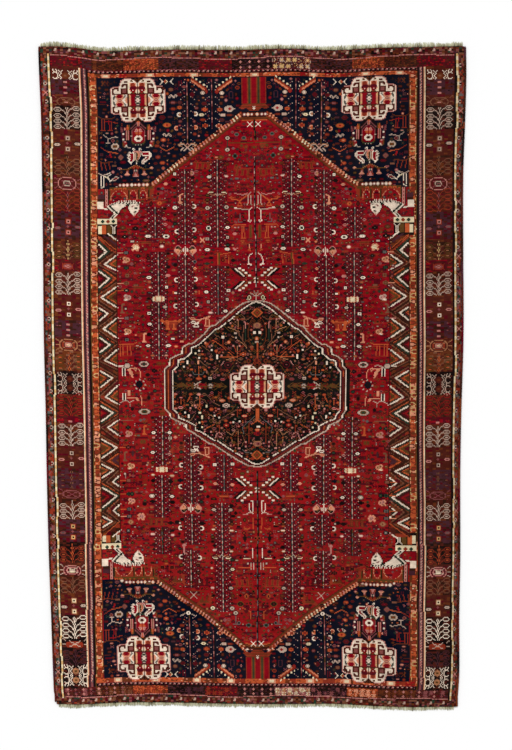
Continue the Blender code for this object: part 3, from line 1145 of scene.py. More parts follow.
FIGURE_LINES = line_table("""
g -28,262 -28,255 / v -26,259 0,259 / q -51,246 -47,242 / q -51,242 -47,246 / l -73,-248 -66,-241 /
l -73,-241 -66,-248 / q -22,-266 -22,-275 / q -25,-276 -19,-276 / e -80,-233 -57,-232 /
b -80,-240 -57,-240 / o -14,-258 -5,-262 -5,-270 / p -20,203 -10,201 -6,203 /
o2 -26,198 -22,196 -14,195 -9,199 -6,201 / o -24,199 -21,198 / o2 -15,195 -15,192 /
o -16,191 -17,189 -12,189 -13,192 / l -2,204 -5,201 -5,192 -6,190 / l -2,200 -2,192 -1,190 /
v3 -5,190 -4,190 / w -1,-153 -4,-151 -5,-148 -5,-142 / w2 -20,187 -17,186 / l -20,186 -5,185 /
w -1,187 -3,185 -4,183 -4,174 / w -5,173 -5,172 -3,171 -2,173 / q -14,180 -14,174 /
q -16,174 -16,171 -12,171 / o -23,166 -21,168 -8,168 / e2 -23,165 -18,164 / l -20,165 -19,165 /
e -18,166 -9,166 / o -12,166 -12,154 / o -10,166 -9,154 / o -13,153 -8,153 / e -4,168 -4,153 /
e -1,168 -1,153 / v2 -3,167 -3,154 / p -22,158 -18,158 / p -21,159 -19,159 / o2 -13,149 -11,148 /
e -10,148 -5,147 -1,151 / a -4,146 -4,142 / o -5,141 -3,141 -3,139 -5,139 -5,141 /
p -22,142 -20,141 -17,142 / w -1,136 -4,134 -5,131 -5,126 / w2 -5,125 -3,124 / w -6,124 -2,123 /
o -39,136 -39,124 / v2 -38,136 -38,124 / o -36,135 -25,137 / e2 -32,134 -31,126 / o -27,134 -27,125 /
e -35,133 -26,133 / l2 -150,10 -143,9 / l -144,10 -138,12 -135,11 / w -146,8 -146,0 / w -143,8 -143,0 /
k2 -145,8 -145,0 / a2 -141,8 -132,8 / a4 -140,7 -137,1 / a2 -136,0 -135,-2 / a -133,7 -131,5 -130,8 -132,9 /
a -128,7 -126,4 -126,-2 / e -142,0 -141,-4 / e -138,0 -138,-4 / a3 -140,-17 -140,-22 /
a3 -141,-25 -132,-25 -130,-28 / w -146,-20 -146,-27 / w -143,-20 -143,-27 / k2 -145,-20 -145,-27 /
l -149,-30 -144,-28 -141,-28 -139,-30 -134,-28 / a -126,-23 -125,-26 -125,-33 /
e -147,-42 -144,-42 -144,-46 / e -141,-41 -141,-49 / e -138,-41 -138,-49 / f -148,-50 -135,-50 /
o -149,35 -133,35 -130,37 / o -148,34 -148,22 / o -145,34 -145,22 / e -149,33 -134,33 / o -140,33 -140,22 /
o -137,33 -136,22 / e -134,33 -128,31 / e -147,22 -136,22 / w -1,-140 -1,-151 / w2 -3,-139 -2,-139 /
l -1,-151 -8,-153 / p2 -12,-154 -8,-154 / o -1,-158 -1,-170 / o -11,-168 -8,-171 -5,-169 /
w -2,-192 -2,-202 / c -12,-203 -5,-203 / l -4,-208 -4,-215 / l -1,-208 -1,-215 / o2 -18,-213 -5,-213
""")
for wool, width, points in FIGURE_LINES:
    thread(points, wool, width=width)
WHEEL = ((-131, -6), (-127, -4), (-123, -6), (-121, -10), (-123, -14), (-127, -16), (-131, -14), (-133, -10))
for c, r in WHEEL:
    sew(motif("1. 11"), c, r, "l")
bud(-127, -10, 8, 9, "hnk")
print("trees of the field sewn")

# %% Crosswise twigs, combs and the middle stem of the field
CROSS_TWIGS = (  # row, wool of the line, wools of the bud at its end
    (137, "a", "kq"), (120, "s", "kg"), (103, "a", "fvi"), (95, "o", "kgl"), (64, "p", "xqi"),
    (40, "m", "kqg"), (11, "w", "lll"), (-58, "s", "kgq"), (-80, "o", "kxi"), (-117, "o", "xfi"),
    (-132, "o", "kgk"), (-149, "o", "kqx"), (-157, "a", "kqi"),
)
for at_row, line, bud_wools in CROSS_TWIGS:
    axis = middle(at_row)
    thread(((-150, at_row), (-142, at_row)), line, axis=axis)
    bud(-140, at_row, 6, 5, bud_wools, axis=axis)
for at_row in (108, -125):
    centre = middle(at_row)
    for half in (1, -1):
        up = half < 0
        points = ((centre - 23, at_row + half * 11), (centre - 14, at_row + half * 3.4))
        for shift, wool in ((-4, "k"), (-2, "k"), (2, "k"), (4, "e"), (5, "b"), (6, "e"), (7, "b"), (8, "k")):
            thread([(c + shift, r) for c, r in points], wool, width=2, axis=centre)
        thread(points, "w", width=2, axis=centre)
        foot = ((centre - 14, at_row + half * 3.4), (centre - 8, at_row + half * 0.6))
        thread([(c + 5, r) for c, r in foot], "b", width=4, axis=centre)
        for k in range(4):
            sew(motif("111 111"), centre - 17.5 + 3.5 * k, at_row + half * (12.5 - 2.7 * k), "w", axis=centre)
    sew(motif("..w.. .www. wwwww ..w.. .w.w. .www. wwwww"), centre, at_row - 1, twin=False)
for low, high, wools in ((262, 284, "gkv"), (99, 243, "qkilqk"), (-216, -106, "gkvqk"), (-300, -216, "qkuq")):
    for at_row in range(low, high + 1):
        c = middle(at_row)
        fill(c, c, at_row, at_row, wools[at_row // 3 % len(wools)])
        fill(c + 1, c + 1, at_row, at_row, "k")
for at_row in (280, -297):
    sew(GUARD_CROSS, middle(at_row) - 5, at_row, "w")
print("crosswise twigs and combs sewn")

# %% Buds of the field
UPPER_BUDS = bud_table("""
-118: 185 5x3 xi, 179 4x3 xi, 173 4x3 pk, 166 6x4 xef, 160 5x3 xt, 82 6x4 xqi; -116: 155 8x4 wg
-121: 152 4x4 kv; -133: 150 4x2 lk; -144: 165 8x6 xvi; -130: 164 8x6 kkq; -136: 161 6x4 se
-142: 155 8x6 kkl, 17 6x5 xfg; -139: 112 7x7 xfb; -130: 101 8x5 xfb, 45 5x3 ea, 39 5x3 xf
-127: 133 8x6 xkq; -116: 134 5x3 kx; -115: 128 5x3 xi, 122 4x3 ki; -114: 116 6x4 kv
-115: 109 7x4 wg, 104 6x3 fo; -98: 181 4x3 kt, 76 6x4 ltv; -97: 174 4x3 pk, 168 6x4 prx, 163 4x4 kv
-96: 155 8x5 wk; -101: 144 6x5 pwg; -94: 141 6x2 ui; -95: 135 5x4 xui, 129 6x4 xfx, 124 4x4 ku
-96: 117 5x3 kx; -94: 111 7x4 ppx; -96: 105 5x4 xfp, 98 3x3 wk, 69 4x3 kl; -88: 174 4x5 se, 166 5x5 xqk
-85: 154 4x3 kv; -87: 147 5x4 ea, 131 5x4 xb; -88: 124 6x5 uuk, 117 6x4 fop, 99 5x4 ku
-64: 176 6x4 ime, 169 5x5 xqk; -57: 157 4x2 ik; -64: 149 5x4 oa, 127 5x5 qnk, 119 5x4 aoe, 101 4x4 kx
-58: 140 2x2 pk; -56: 132 6x4 bv; -51: 125 8x5 xgk, 179 4x3 kq, 116 4x3 xt; -50: 174 3x3 f, 170 6x4 xem
-49: 164 6x6 wg; -50: 158 3x3 kf, 152 4x3 lk, 146 6x3 xf, 140 7x4 wx
-28: 181 4x3 kl, 176 4x3 ki, 170 5x4 xe, 165 6x4 wk, 160 4x3 kx, 154 3x3 lk, 148 5x4 xmi, 141 7x4 wpx
-46: 134 8x3 se, 131 7x4 knu; -22: 129 6x5 kkl
-52: 110 4x3 xl, 105 6x4 xti, 93 6x4 wx, 99 5x4 kv, 87 5x3 xi; -50: 82 3x3 lk, 76 5x4 xi; -47: 70 7x3 pwl
-27: 107 7x4 xif, 112 4x3 ki, 101 6x4 kv, 95 5x4 wi; -28: 90 6x3 xi, 265 6x5 lgk
-29: 85 3x3 lk, 222 6x4 pwx, 188 6x5 lx, 193 5x4 xt; -30: 78 5x4 kv, 234 5x4 xe, 228 4x3 kx, 217 6x4 xi
-31: 72 6x3 wx; -114: 98 5x3 tw; -115: 92 6x3 kqf; -122: 92 6x3 xv; -131: 88 5x4 kx, 17 5x4 k
-112: 76 6x4 xvi; -115: 69 4x3 wk; -86: 71 5x3 ki; -113: 63 4x3 kx; -96: 63 5x3 xe; -115: 57 6x4 wi
-97: 57 6x4 wk, 50 6x4 kxq; -113: 52 6x4 kxq; -115: 46 6x4 xmi; -95: 45 6x4 eox; -96: 38 3x3 ik
-114: 39 5x3 kx; -117: 33 6x3 wk, 27 4x4 kg; -94: 33 7x4 wlk; -95: 27 5x3 kq, 92 5x4 kxi; -112: 22 6x4 fox
-97: 22 6x4 fpx; -122: 13 12x7 lmgg, 144 4x3 xa; -86: 32 6x3 oa, 92 3x2 wk; -89: 41 5x2 wk; -79: 38 5x2 a
-76: 40 4x4 vf; -88: 92 2x4 o; -86: 86 5x3 xf, 187 6x5 wgk, 203 5x4 xq; -67: 47 4x3 xf; -63: 93 5x4 ftw
-60: 93 1x5 o, 243 6x4 mr; -64: 86 5x3 xi
-65: 72 6x5 xqn, 207 5x5 xfo, 213 4x4 kv, 201 4x4 xq, 182 6x3 kxi; -126: 20 5x3 xu; -124: 104 4x3 xb
-119: 141 6x5 xf; -125: 118 6x4 eb; -131: 122 5x4 xkg; -99: 208 4x3 q; -104: 208 6x5 ukm, 202 5x6 ekg
-103: 192 8x7 eobg; -96: 213 6x3 ap; -87: 218 7x5 kkl; -112: 191 5x6 kxm; -119: 193 4x3 se
-98: 186 6x3 xe; -91: 195 5x5 xb; -89: 210 6x4 xe; -86: 224 3x4 wk; -66: 195 7x4 eso, 220 6x4 kkl
-57: 209 6x4 xu, 186 6x3 xe; -56: 217 5x3 xe; -58: 200 6x4 xb; -48: 221 6x4 wg, 216 5x3 xt, 210 5x3 kx
-47: 228 4x3 kg; -26: 210 6x3 kx; -50: 187 6x5 lx, 192 4x3 xt; -48: 234 6x4 xei; -49: 238 5x3 ki
-40: 243 6x4 ea; -35: 243 8x6 bvoe; -19: 245 7x7 qgkk; -28: 252 6x5 lgk; -18: 269 6x5 qgk
-10: 265 6x5 qgk; -22: 227 5x3 xi, 219 6x3 se, 87 6x3 se; -17: 220 4x2 q, 135 5x3 kl; -56: 231 4x5 xb
-38: 255 6x4 xm; -36: 260 6x3 se; -11: 150 7x4 eo; -4: 140 5x4 eom; -20: 141 6x2 pk, 158 6x2 pk
-14: 124 3x4 kl; -44: 242 4x3 kx; -5: 86 4x4 cwl
""")
LOWER_BUDS = bud_table("""
-143: -11 7x4 xqn; -117: -25 6x8 xkk; -110: -17 6x5 kgq, 5 7x6 kku; -118: 1 6x5 kk
-113: -1 5x3 xi, -86 6x4 wg, -80 6x4 xv, -111 6x4 twt, -117 6x5 kkx, -122 4x3 xv
-112: -8 6x4 kx, -52 5x3 xi, -64 6x4 wg, -69 3x2 pk, -58 5x3 xi; -107: -22 6x4 xm; -109: -34 8x3 xf
-122: -40 14x7 lvgg; -142: -34 5x4 kg, -173 6x6 kql; -135: -37 5x5 k; -126: -50 5x3 q, -104 6x4 xku
-140: -57 5x5 kg; -94: -64 6x4 wlg; -93: -70 4x3 lk, -75 6x3 xb, -81 5x4 xg; -94: -88 4x3 pk, -164 8x5 kkg
-93: -92 5x4 kx, -53 5x4 xf, -59 4x3 xg; -87: -69 5x3 ap; -82: -94 7x4 kkl, -106 6x4 kpi; -83: -112 5x4 kx
-96: -98 6x4 eo; -91: -112 7x4 tlg; -93: -118 6x5 kkx, -124 5x3 xf, -206 5x5 xek
-114: -128 5x3 ft, -134 7x5 lwg, -140 8x5 kkd; -92: -130 6x4 xeo, -135 6x4 wq, -178 6x4 pwx, -173 6x4 kkb
-91: -141 7x5 kkd, -148 6x4 xe, -153 6x3 xe, -157 9x4 seo; -115: -147 6x4 foe, -152 5x3 xf, -209 7x4 xkx
-137: -132 6x6 kgv; -123: -143 6x5 kkg; -122: -126 5x4 xq; -130: -126 4x4 xt, -92 6x4 xu, -183 7x4 xb
-86: -163 7x5 kkk; -83: -164 2x2 lk, -131 5x4 bov, -183 5x4 xi; -124: -169 5x4 kvt, -133 6x4 ex
-114: -177 7x4 pwx, -171 7x5 kkd; -112: -183 5x3 xt; -95: -183 5x3 xt, -193 6x5 kxq
-113: -188 6x4 kx, -194 5x4 kkl; -146: -191 7x4 kgk; -139: -163 8x7 ftbe; -116: -202 5x3 xf
-104: -205 5x5 xeb; -100: -210 8x4 eov; -82: -117 7x6 knn; -81: -137 4x6 xb; -58: -119 6x5 kkx
-60: -132 6x4 xob; -43: -120 6x4 apx, -114 5x4 kx, -99 5x4 wlk, -106 5x4 xf, -90 5x4 kxi
-24: -121 6x4 apx; -23: -98 5x3 wlk; -24: -106 5x4 xf; -49: -124 6x3 xv
-45: -137 8x4 kv, -149 6x4 ltw, -144 6x3 xeb; -26: -149 6x4 ltk, -144 6x3 xeb
-48: -155 6x4 kkp, -214 5x3 tw, -208 5x3 kx, -220 5x4 xt, -226 5x3 kx, -236 6x4 pwx, -241 5x4 xf
-48: -247 5x4 xoe, -252 5x3 kx, -258 6x5 ck; -23: -156 7x4 kkg; -45: -160 5x4 xv, -167 6x3 eo
-25: -161 6x3 kx; -26: -167 6x3 eo; -46: -171 6x4 twl; -25: -172 7x3 twl; -47: -177 5x4 xq
-24: -178 6x4 xi, -183 5x4 xeo; -46: -183 5x4 xeo; -45: -189 6x4 kkm, -194 6x4 pwx; -25: -190 6x5 kkm
-26: -195 6x3 twx, -210 5x3 kx; -58: -164 9x5 kkkl, -177 5x4 xgv; -63: -209 7x4 xft; -65: -193 9x4 seo
-55: -198 5x4 xk; -10: -160 5x6 kvk, -170 6x3 eo, -180 4x9 kkb, -188 7x4 se, -195 6x5 knq
-17: -167 4x2 kq; -12: -141 4x4 kql; -135: -87 4x8 xu; -125: -92 5x4 xq; -122: -187 6x4 xf
-120: -196 5x3 xf; -126: -176 6x4 em; -107: -186 3x3 xi; -134: -117 5x3 xb; -127: -113 4x6 xbo
-76: -205 5x4 xf; -84: -176 5x5 xkf, -193 6x4 kgk; -80: -209 5x3 xp; -86: -210 4x3 e
-57: -188 5x4 xi, -144 7x3 xm; -54: -148 5x3 xf; -28: -113 6x3 xe; -16: -104 6x4 xo; -12: -108 7x5 xvo
-50: -264 6x4 xbo; -25: -215 6x4 ck, -221 5x4 xt, -227 5x3 kx; -27: -236 6x4 lk; -26: -241 5x4 xf
-25: -247 5x4 xe, -253 5x3 kx; -26: -258 6x5 lk; -16: -253 9x7 vkxv; -22: -263 6x5 lg; -7: -277 7x6 qgk
-18: -274 5x5 qk; -60: -253 10x6 sev; -83: -211 6x5 kv; -84: -219 7x6 kxk, -228 5x5 lk, -235 5x4 kt
-64: -211 6x5 kx; -63: -219 7x5 kxv; -61: -228 5x5 lk; -9: -245 7x8 eox; -33: -266 6x4 xeo
-34: -272 5x4 em; -104: -214 7x6 ekx; -93: -214 7x6 ekx; -70: -238 9x4 seb; -10: -261 6x5 xm
-12: -268 5x4 xb; -26: -283 6x4 kxm; -14: -287 6x4 xe; -38: -279 5x4 xm
""")
for c, r, wide, high, wools in UPPER_BUDS + LOWER_BUDS:
    bud(c, r, wide - (wide > 4), high - (high > 3), wools)
print(f"field: {len(UPPER_BUDS) + len(LOWER_BUDS)} buds, each with its twin")

# %% Animals and flowers of the field
scatter("""
flower -130,143 act / half -140,129 atkp / half -139,87 lpqw / half -139,49 atkw / half -139,-65 ptkp /
half -137,-101 atkc / half -137,-140 apkf / flower -127,-157 apg / bracket -85,160 wwk /
bracket -86,106 wwk / bracket -87,77 wwk / bracket< -66,225 pwt / bracket< -64,188 wwv /
bracket< -64,162 wwk / bracket< -63,107 wwk / bracket< -62,79 wwk / bracket -83,-124 wwk /
bracket -84,-170 wkk / bracket -84,-202 wkk / bracket -82,-100 wwk / bracket< -58,-102 wwk /
bracket< -58,-125 wwk / bracket< -58,-170 wkk / bracket< -61,-203 wkk / bracket< -60,-108 pik /
bow -56,151 a / bent -80,197 a / pacer -55,235 eb / bone -145,75 f / table -126,66 se / goat -93,57 oe /
goat< -90,57 oe / table -12,253 se / pacer -11,228 eb / legged -59,60 aewmi / bone -121,42 a /
bone -122,-61 o / bone -144,-90 f / pacer -110,-162 be / table -128,97 eb / table -119,147 eb
""")
scatter("""
legged -60,-85 aewmi / bent -79,-194 pk / goat -84,-80 ee / pacer -14,-232 eb / table -34,-133 eo /
goat -86,-228 eb / pacer -60,-232 mx / goat -56,-250 eb
""", upside_down=True)
print("animals and flowers of the field sewn")

# %% [markdown]
# What is still plain red gets the smallest things: pairs of leaves, dots and sprigs, sewn only where a patch
# of the ground is empty. They mirror like everything else, so the field stays even.

# %% Smallest fillings of the red field
TINY = [motif(shape) for shape in (
    ".11. 1221 .11.", ".1. 121 .1.", ".11. 1221 .11.", "11. 121 .11", ".111. 12221 .111.",
    ".11. 1221 1221 .11.", "1.1 .2. 1.1", ".1.. 112. .1.1", ".2. 111 .2.", "1..1 .11. 1..1", ".11 12. .1.")]


def is_plain(at_column, at_row, grounds, room, off_top=0):
    """Whether all knots within room of a place, less off_top rows at the top, are of these grounds."""
    c, r = at_column + HALF_KNOTS, at_row + ROWS_BELOW
    return np.isin(chart[r - room:r + room + 1 - off_top, c - room:c + room + 1], list(grounds)).all()


def fill_gaps(low, high, grounds, wools, hearts, chance, room=2):
    """Beads on free ground between two rows, with their mirror images. chance is how often one is tried."""
    for at_column in range(-FIELD_HALF + 3, 2):
        for at_row in range(low, high):
            if at_column >= middle(at_row) - 1:
                continue
            if draw.random() < chance and is_plain(at_column, at_row, grounds, room):
                shape = TINY[int(draw.integers(0, len(TINY)))]
                colours = pick(wools) + pick(hearts)
                sew(shape, at_column, at_row, colours, turned=bool(draw.random() < 0.5))


RINGED_BUDS = ("kxe", "kkg", "xke", "kbo", "kgx", "xkp", "kkl", "xbk", "kve")
for stem, top, bottom, _ in STEMS:  # dark ringed buds down both sides of a tree, wherever the ground is free
    for at_row in range(bottom + 3, top, 5):
        for at_column in (stem - 11, stem + 11):
            if is_plain(at_column, at_row, "rsemxu", 2, off_top=1):
                bud(at_column, at_row, 5, 4, pick(RINGED_BUDS))
fill_gaps(100, 290, "rsem", "kmxummuxmdvuix", "evgxiqtebl", 0.3)
fill_gaps(-300, 99, "rsem", "kmxxmbumxbvebi", "evgxiqtekl", 0.3)
fill_gaps(-334, 330, "n", "dxdmubviikxmgd", "enoixvapgb", 0.3)
left = np.isin(chart[in_ground], ["r", "s"]).mean()
print(f"field: {left:.0%} of the ground is still red")

# %% [markdown]
# ## The medallion
# In the middle stands a medallion on a ground of black green, edged by parallel lines. They run in long
# slants and short upright jogs. Both halves were counted anew, so each has its own list of points: column and
# row on the outermost line, column and row on the innermost one. Everything between follows from these two.

# %% Medallion ground and lines
UPPER_EDGE = (  # outer column and row, inner column and row
    (-99, -10, -90, -10), (-99, 7, -90, 5), (-94, 11, -84, 10), (-93, 18, -83, 17), (-86, 22, -77, 18.5),
    (-80, 24, -69, 25), (-79, 31, -68.5, 31), (-73, 35, -64, 32.5), (-68, 35.5, -60, 35),
    (-55, 46, -50, 44), (-48, 55, -43, 51), (-43, 56, -38, 53), (-30, 67, -25, 63), (-20, 75, -15, 72),
    (-12, 80.5, -8, 77), (-6, 82.5, -1, 81), (4, 83, 4, 82),
)
LOWER_EDGE = (
    (-99, -10, -90, -10), (-99, -38, -90, -38), (-94, -43, -84, -43), (-93, -47, -83, -48),
    (-86, -51, -76, -50), (-76, -55, -65, -56), (-75, -60, -64.5, -61), (-66, -65, -58, -63),
    (-50, -75.5, -44, -72), (-45, -76.5, -40, -72.5), (-30, -86, -24, -83), (-17, -94, -12, -90),
    (-5, -100, -2, -96.5), (4, -101, 4, -98.5),
)
EDGE_WOOLS = "wwkxxxxeoooxxmmmmukkww"
for edge in (UPPER_EDGE, LOWER_EDGE):
    outer = [(c, r) for c, r, _, _ in edge]
    for (c0, r0), (c1, r1) in zip(outer, outer[1:]):
        for at_row in np.arange(min(r0, r1), max(r0, r1) + 0.5, 0.5):
            share = (at_row - r0) / (r1 - r0) if r1 != r0 else 0
            c = c0 + (c1 - c0) * share
            fill(c, middle(at_row), at_row, at_row, "h", axis=middle(at_row))
in_medallion = chart == "h"
for edge in (UPPER_EDGE, LOWER_EDGE):
    for n, wool in sorted(enumerate(EDGE_WOOLS), key=lambda line: abs(line[0] - 10.5)):
        t = n / (len(EDGE_WOOLS) - 1)
        line = [(oc + (ic - oc) * t, orow + (ir - orow) * t) for oc, orow, ic, ir in edge]
        for (c0, r0), (c1, r1) in zip(line, line[1:]):
            upright = abs(c1 - c0) < 2
            for s in np.linspace(0, 1, int(2.5 * max(abs(c1 - c0), abs(r1 - r0), 1)) + 1):
                dye = wool
                if not upright and n < 2:
                    dye = "l"
                elif not upright and n == len(EDGE_WOOLS) - 2:
                    dye = "k"
                elif not upright and wool == "o":
                    dye = "e"
                at_row = r0 + (r1 - r0) * s
                sew([(0, 0, dye)], c0 + (c1 - c0) * s, at_row)
print(f"medallion: {int(in_medallion.sum())} knots")

# %% [markdown]
# Inside, thin stems branch from the middle, with white squares, orange buds and dark rings hung all over
# them. Each half has tables of its own.

# %% Plants of the medallion's wide half
LOZENGE = motif("""
o
boo
vvoo
evvoo
eevvoo
keevvoo
""", "left down")
MEDALLION_STEMS = line_table("""
o -46,36 -42,38 -34,32 -22,21 / e -34,41 -34,34 -30,31 -22,25 / e -41,27 -40,22 / o -37,21 -18,21 /
t -28,54 -22,52 -16,49 / f -12,40 -11,56 / g -9,38 -9,56 / b -2,62 -5,57 -6,48 -5,38 -2,34 /
t -24,44 -12,36 -4,27 / f -18,50 -14,42 -8,34 / o -61,10 -61,-1 / q -68,4 -66,1 -62,1 /
q -55,4 -57,1 -61,1 / t -48,0 -44,4 -40,8 / t -30,18 -22,20 / f -20,18 -14,14 / t -17,52 -17,61 /
p -9,53 -9,60 / t -18,33 -18,22 / e -21,33 -20,27 -15,27 -14,33 / f -24,60 -17,54 / f -57,33 -50,28 -46,22 /
f -64,20 -57,14 -52,10 / v -72,20 -64,12 / v -80,8 -76,2 / v -50,42 -44,34 / f -44,46 -36,42 -30,44 /
v -33,56 -27,50 / f -52,14 -46,12 -42,16 / p -36,12 -33,16 / v -26,6 -20,14 / f -13,68 -8,62 -2,66 /
f -10,72 -3,74
""")
MEDALLION_BUDS = bud_table("""
-17: 63 3x3 pi; -25: 59 3x3 p; -10: 60 4x4 ip; -20: 48 4x2 l; -19: 43 3x2 l; -34: 43 4x4 wp
-27: 38 5x5 oa; -52: 35 6x4 oeo; -53: 37 3x2 a; -41: 28 5x5 eo; -46: 29 3x2 w; -40: 21 2x6 w
-35: 23 3x3 p, 52 6x4 xif; -22: 34 3x2 p; -15: 34 3x2 p, 56 4x4 dxm; -11: 24 7x6 oea; -60: 28 3x3 w
-64: 25 3x3 c; -57: 24 6x3 oa; -60: 20 3x3 w; -52: 19 5x4 eo; -73: 15 3x5 w; -61: 15 3x5 aoc, -3 8x5 eob
-77: 10 3x3 w; -69: 7 4x3 oa; -54: 7 4x3 oa; -82: 5 6x4 xik, -4 6x4 xmi; -72: -4 8x5 ebo; -48: -3 5x4 lxl
-39: 1 4x3 i; -34: -4 7x4 ise; -28: 12 9x8 mkki; -5: 17 7x7 mbkm; -46: 12 6x4 kmu
-42: 14 5x4 dif, -8 6x3 dvk; -51: 12 5x4 dgk; -68: 14 6x6 duk; -66: 20 5x4 dmk; -46: 5 6x5 dfk
-22: 6 6x5 dnn; -36: 10 5x4 dmu; -20: 12 5x4 dnn; -50: 25 6x5 dun; -30: 27 5x4 dnn; -44: 45 5x4 dnn
-27: 46 6x5 dun; -22: 40 5x3 dvk; -6: 30 5x4 dnn, 66 5x4 dxk; -12: 14 5x4 dxm, 48 4x4 dxm; -76: 4 5x4 dgk
-64: -6 6x3 dxm; -70: -10 5x3 dmk; -32: 20 5x3 dxb; -29: 60 5x4 dvk; -20: 68 5x3 dxf
""")
print(f"wide half: {len(MEDALLION_STEMS)} stems, {len(MEDALLION_BUDS)} buds")

# %% Plants of the medallion's narrow half
NARROW_STEMS = line_table("""
o 4,-31 4,-50 / o 3,-31 3,-50 / o 4,-50 -2,-54 / q 1,-45 -12,-57 -11,-64 / e -5,-53 -5,-75 /
q -12,-82 -9,-85 -5,-85 / t -17,-62 -17,-78 / t -24,-71 -24,-75 / f -18,-37 -35,-47 / f -24,-45 -38,-50 /
e -18,-37 -18,-46 / e -38,-55 -38,-65 / p -43,-70 -41,-64 -38,-63 -36,-64 -34,-70 / o -53,-59 -44,-54 /
o -60,-22 -60,-40 / f -67,-32 -65,-28 -60,-26 -55,-27 -52,-31 / o -70,-22 -74,-29 / o -81,-27 -81,-32 /
f -16,-24 -9,-33 1,-38 / v -24,-25 -20,-33 -26,-40 / f -52,-22 -45,-30 -38,-33 / t -30,-62 -24,-66 -20,-60 /
f -66,-44 -70,-50 -76,-50 / v -82,-40 -76,-36 / f -12,-66 -10,-72 -13,-78 / t -50,-43 -44,-46 /
f -34,-73 -28,-78 / v -51,-66 -55,-70
""")
NARROW_BUDS = bud_table("""
-5: -38 6x6 mpm; 4: -56 7x3 w, -60 5x4 oa, -64 7x6 rm; 1: -69 2x2 i; 4: -75 9x7 tix; -16: -80 4x3 p
-25: -77 3x3 p; -8: -73 3x3 p, -78 3x3 p; -22: -60 5x4 pk, -51 3x3 w; -15: -50 3x2 w
-10: -44 8x5 sam, -90 5x3 dxf; -35: -27 8x5 oam; -39: -43 6x5 ek; -43: -44 3x3 w; -38: -46 2x3 w
-30: -55 7x6 seak, -33 9x6 lmw; -41: -52 4x3 vo; -54: -62 3x2 p; -47: -62 3x2 p, -37 6x5 eok
-72: -45 3x5 w; -76: -41 3x3 w; -60: -41 4x3 c; -57: -46 3x5 c; -60: -52 3x3 c; -57: -57 3x3 c, -51 6x3 oa
-47: -50 5x5 vk; -61: -21 6x4 pa; -68: -33 3x3 t; -70: -36 3x3 p, -21 6x4 eo; -64: -35 3x3 p
-52: -34 3x4 co; -60: -36 5x5 ok; -81: -25 6x4 mp, -36 7x4 pr; -46: -19 5x4 im, -57 5x4 dvk
-50: -28 5x4 dmu; -22: -30 6x5 dnn; -14: -60 5x4 dxm; -29: -46 6x5 dun; -33: -67 6x4 dxf; -67: -52 5x4 duk
-20: -70 5x4 dun; -66: -57 5x4 dxk
""")
print(f"narrow half: {len(NARROW_STEMS)} stems, {len(NARROW_BUDS)} buds")

# %% Medallion sewn
MEDALLION_HALVES = ((MEDALLION_STEMS, MEDALLION_BUDS, -2, 78), (NARROW_STEMS, NARROW_BUDS, -92, -18))
for stems, buds, low, high in MEDALLION_HALVES:
    axis = middle(low + 20)
    for wool, width, points in stems:
        thread(points, wool, width=width, axis=axis)
    for c, r, wide, high_bud, wools in buds:
        bud(c, r, max(2, wide - 1), max(2, high_bud - 1), wools, axis=axis)
    fill_gaps(low, high, "h", "vbefximubeixfgm", "hevopx", 0.2, room=1)
centre = round(middle(30))
for at_row in (70, -88):
    sew(LOZENGE, centre, at_row, twin=False)
for c, r, wide, high, wools in bud_table("""
0: 56 9x7 ftitf; -3: 48 3x3 w; 3: 48 3x3 w; 0: 41 4x5 oa, 38 6x2 l; -6: 30 3x2 e; 6: 30 3x2 e; 0: 17 6x7 ebm
"""):
    bud(centre + c, r, wide, high, wools, twin=False)
fill(centre, centre, 20, 37, "o")
fill(centre + 1, centre + 1, 20, 36, "e")
for c, r in ((-6, 32), (-7, 25)):
    thread(((centre + c, r), (centre, r - 6)), "b", axis=centre)
SPRAY = motif("""
..1.....11......1......1......1
.11.....1.3.11..2222.111..112
.1111..11..3.1.222222.1.1.1..1111
1..2221112222.3222222.1.1.12222221111
1..2221111222.3222222.1.1.12222221..1
.1111..11..3.1.222222.1.1.1..1111
.11.....1.3.11..2222.111..112
..1.....11......1......1......1
""")
sew(SPRAY, -58, -11, "brl")
for place in bud_table("-80: -11 10x5 bvbv; -56: -11 7x5 mrr; -48: -11 7x6 qlkq; -38: -11 8x5 bve"):
    bud(*place)
thread(((-60, -7), (-66, -11), (-60, -15)), "l", width=2)
thread(((-91, -12), (-30, -12)), "v")
for c in (-88, -80, -72, -44, -36):
    thread(((c, -8), (c + 6, -12), (c, -16)), "v")
sew(HOOKED_EMBLEM, middle(-12), -12, twin=False)
thread(((3, 82), (3, 92)), "l", twin=False)
thread(((-3, 92), (3, 88)), "l")
bud(-4, 87, 4, 5, "cv")
print("medallion filled")

# %% Abrash
second_vat = in_ground & (chart == "r") & ((row < -30) | ((row < -4) & ((row % 5 < 2) | (row < -18))))
chart[second_vat] = "s"
print(f"abrash: {int((chart == 's').sum())} knots from the second vat")

# %% [markdown]
# ## The outline of the carpet
# The weaver's tension wandered, so the sides bow, the ends wave and one end is wider. The CAD carpet already
# has that outline, so it is read from there: for each height along the rug, how far the left and right edges
# are, and for each place across, how far the ends are. Every later piece follows these four curves.

# %% The outline of the carpet
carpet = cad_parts["carpet"]
rim = np.array([carpet.matrix_world @ v.co for v in carpet.data.vertices])
carpet_low, carpet_high = (np.array(corner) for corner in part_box("carpet"))


def edge_curve(along, out, share, near):
    """One side of the outline: places along it in order, and how far out the rim is at each of them."""
    here = (rim[:, 2] < 0.002) & (out > share * out.max()) & near
    order = np.argsort(along[here])
    return along[here][order], out[here][order]


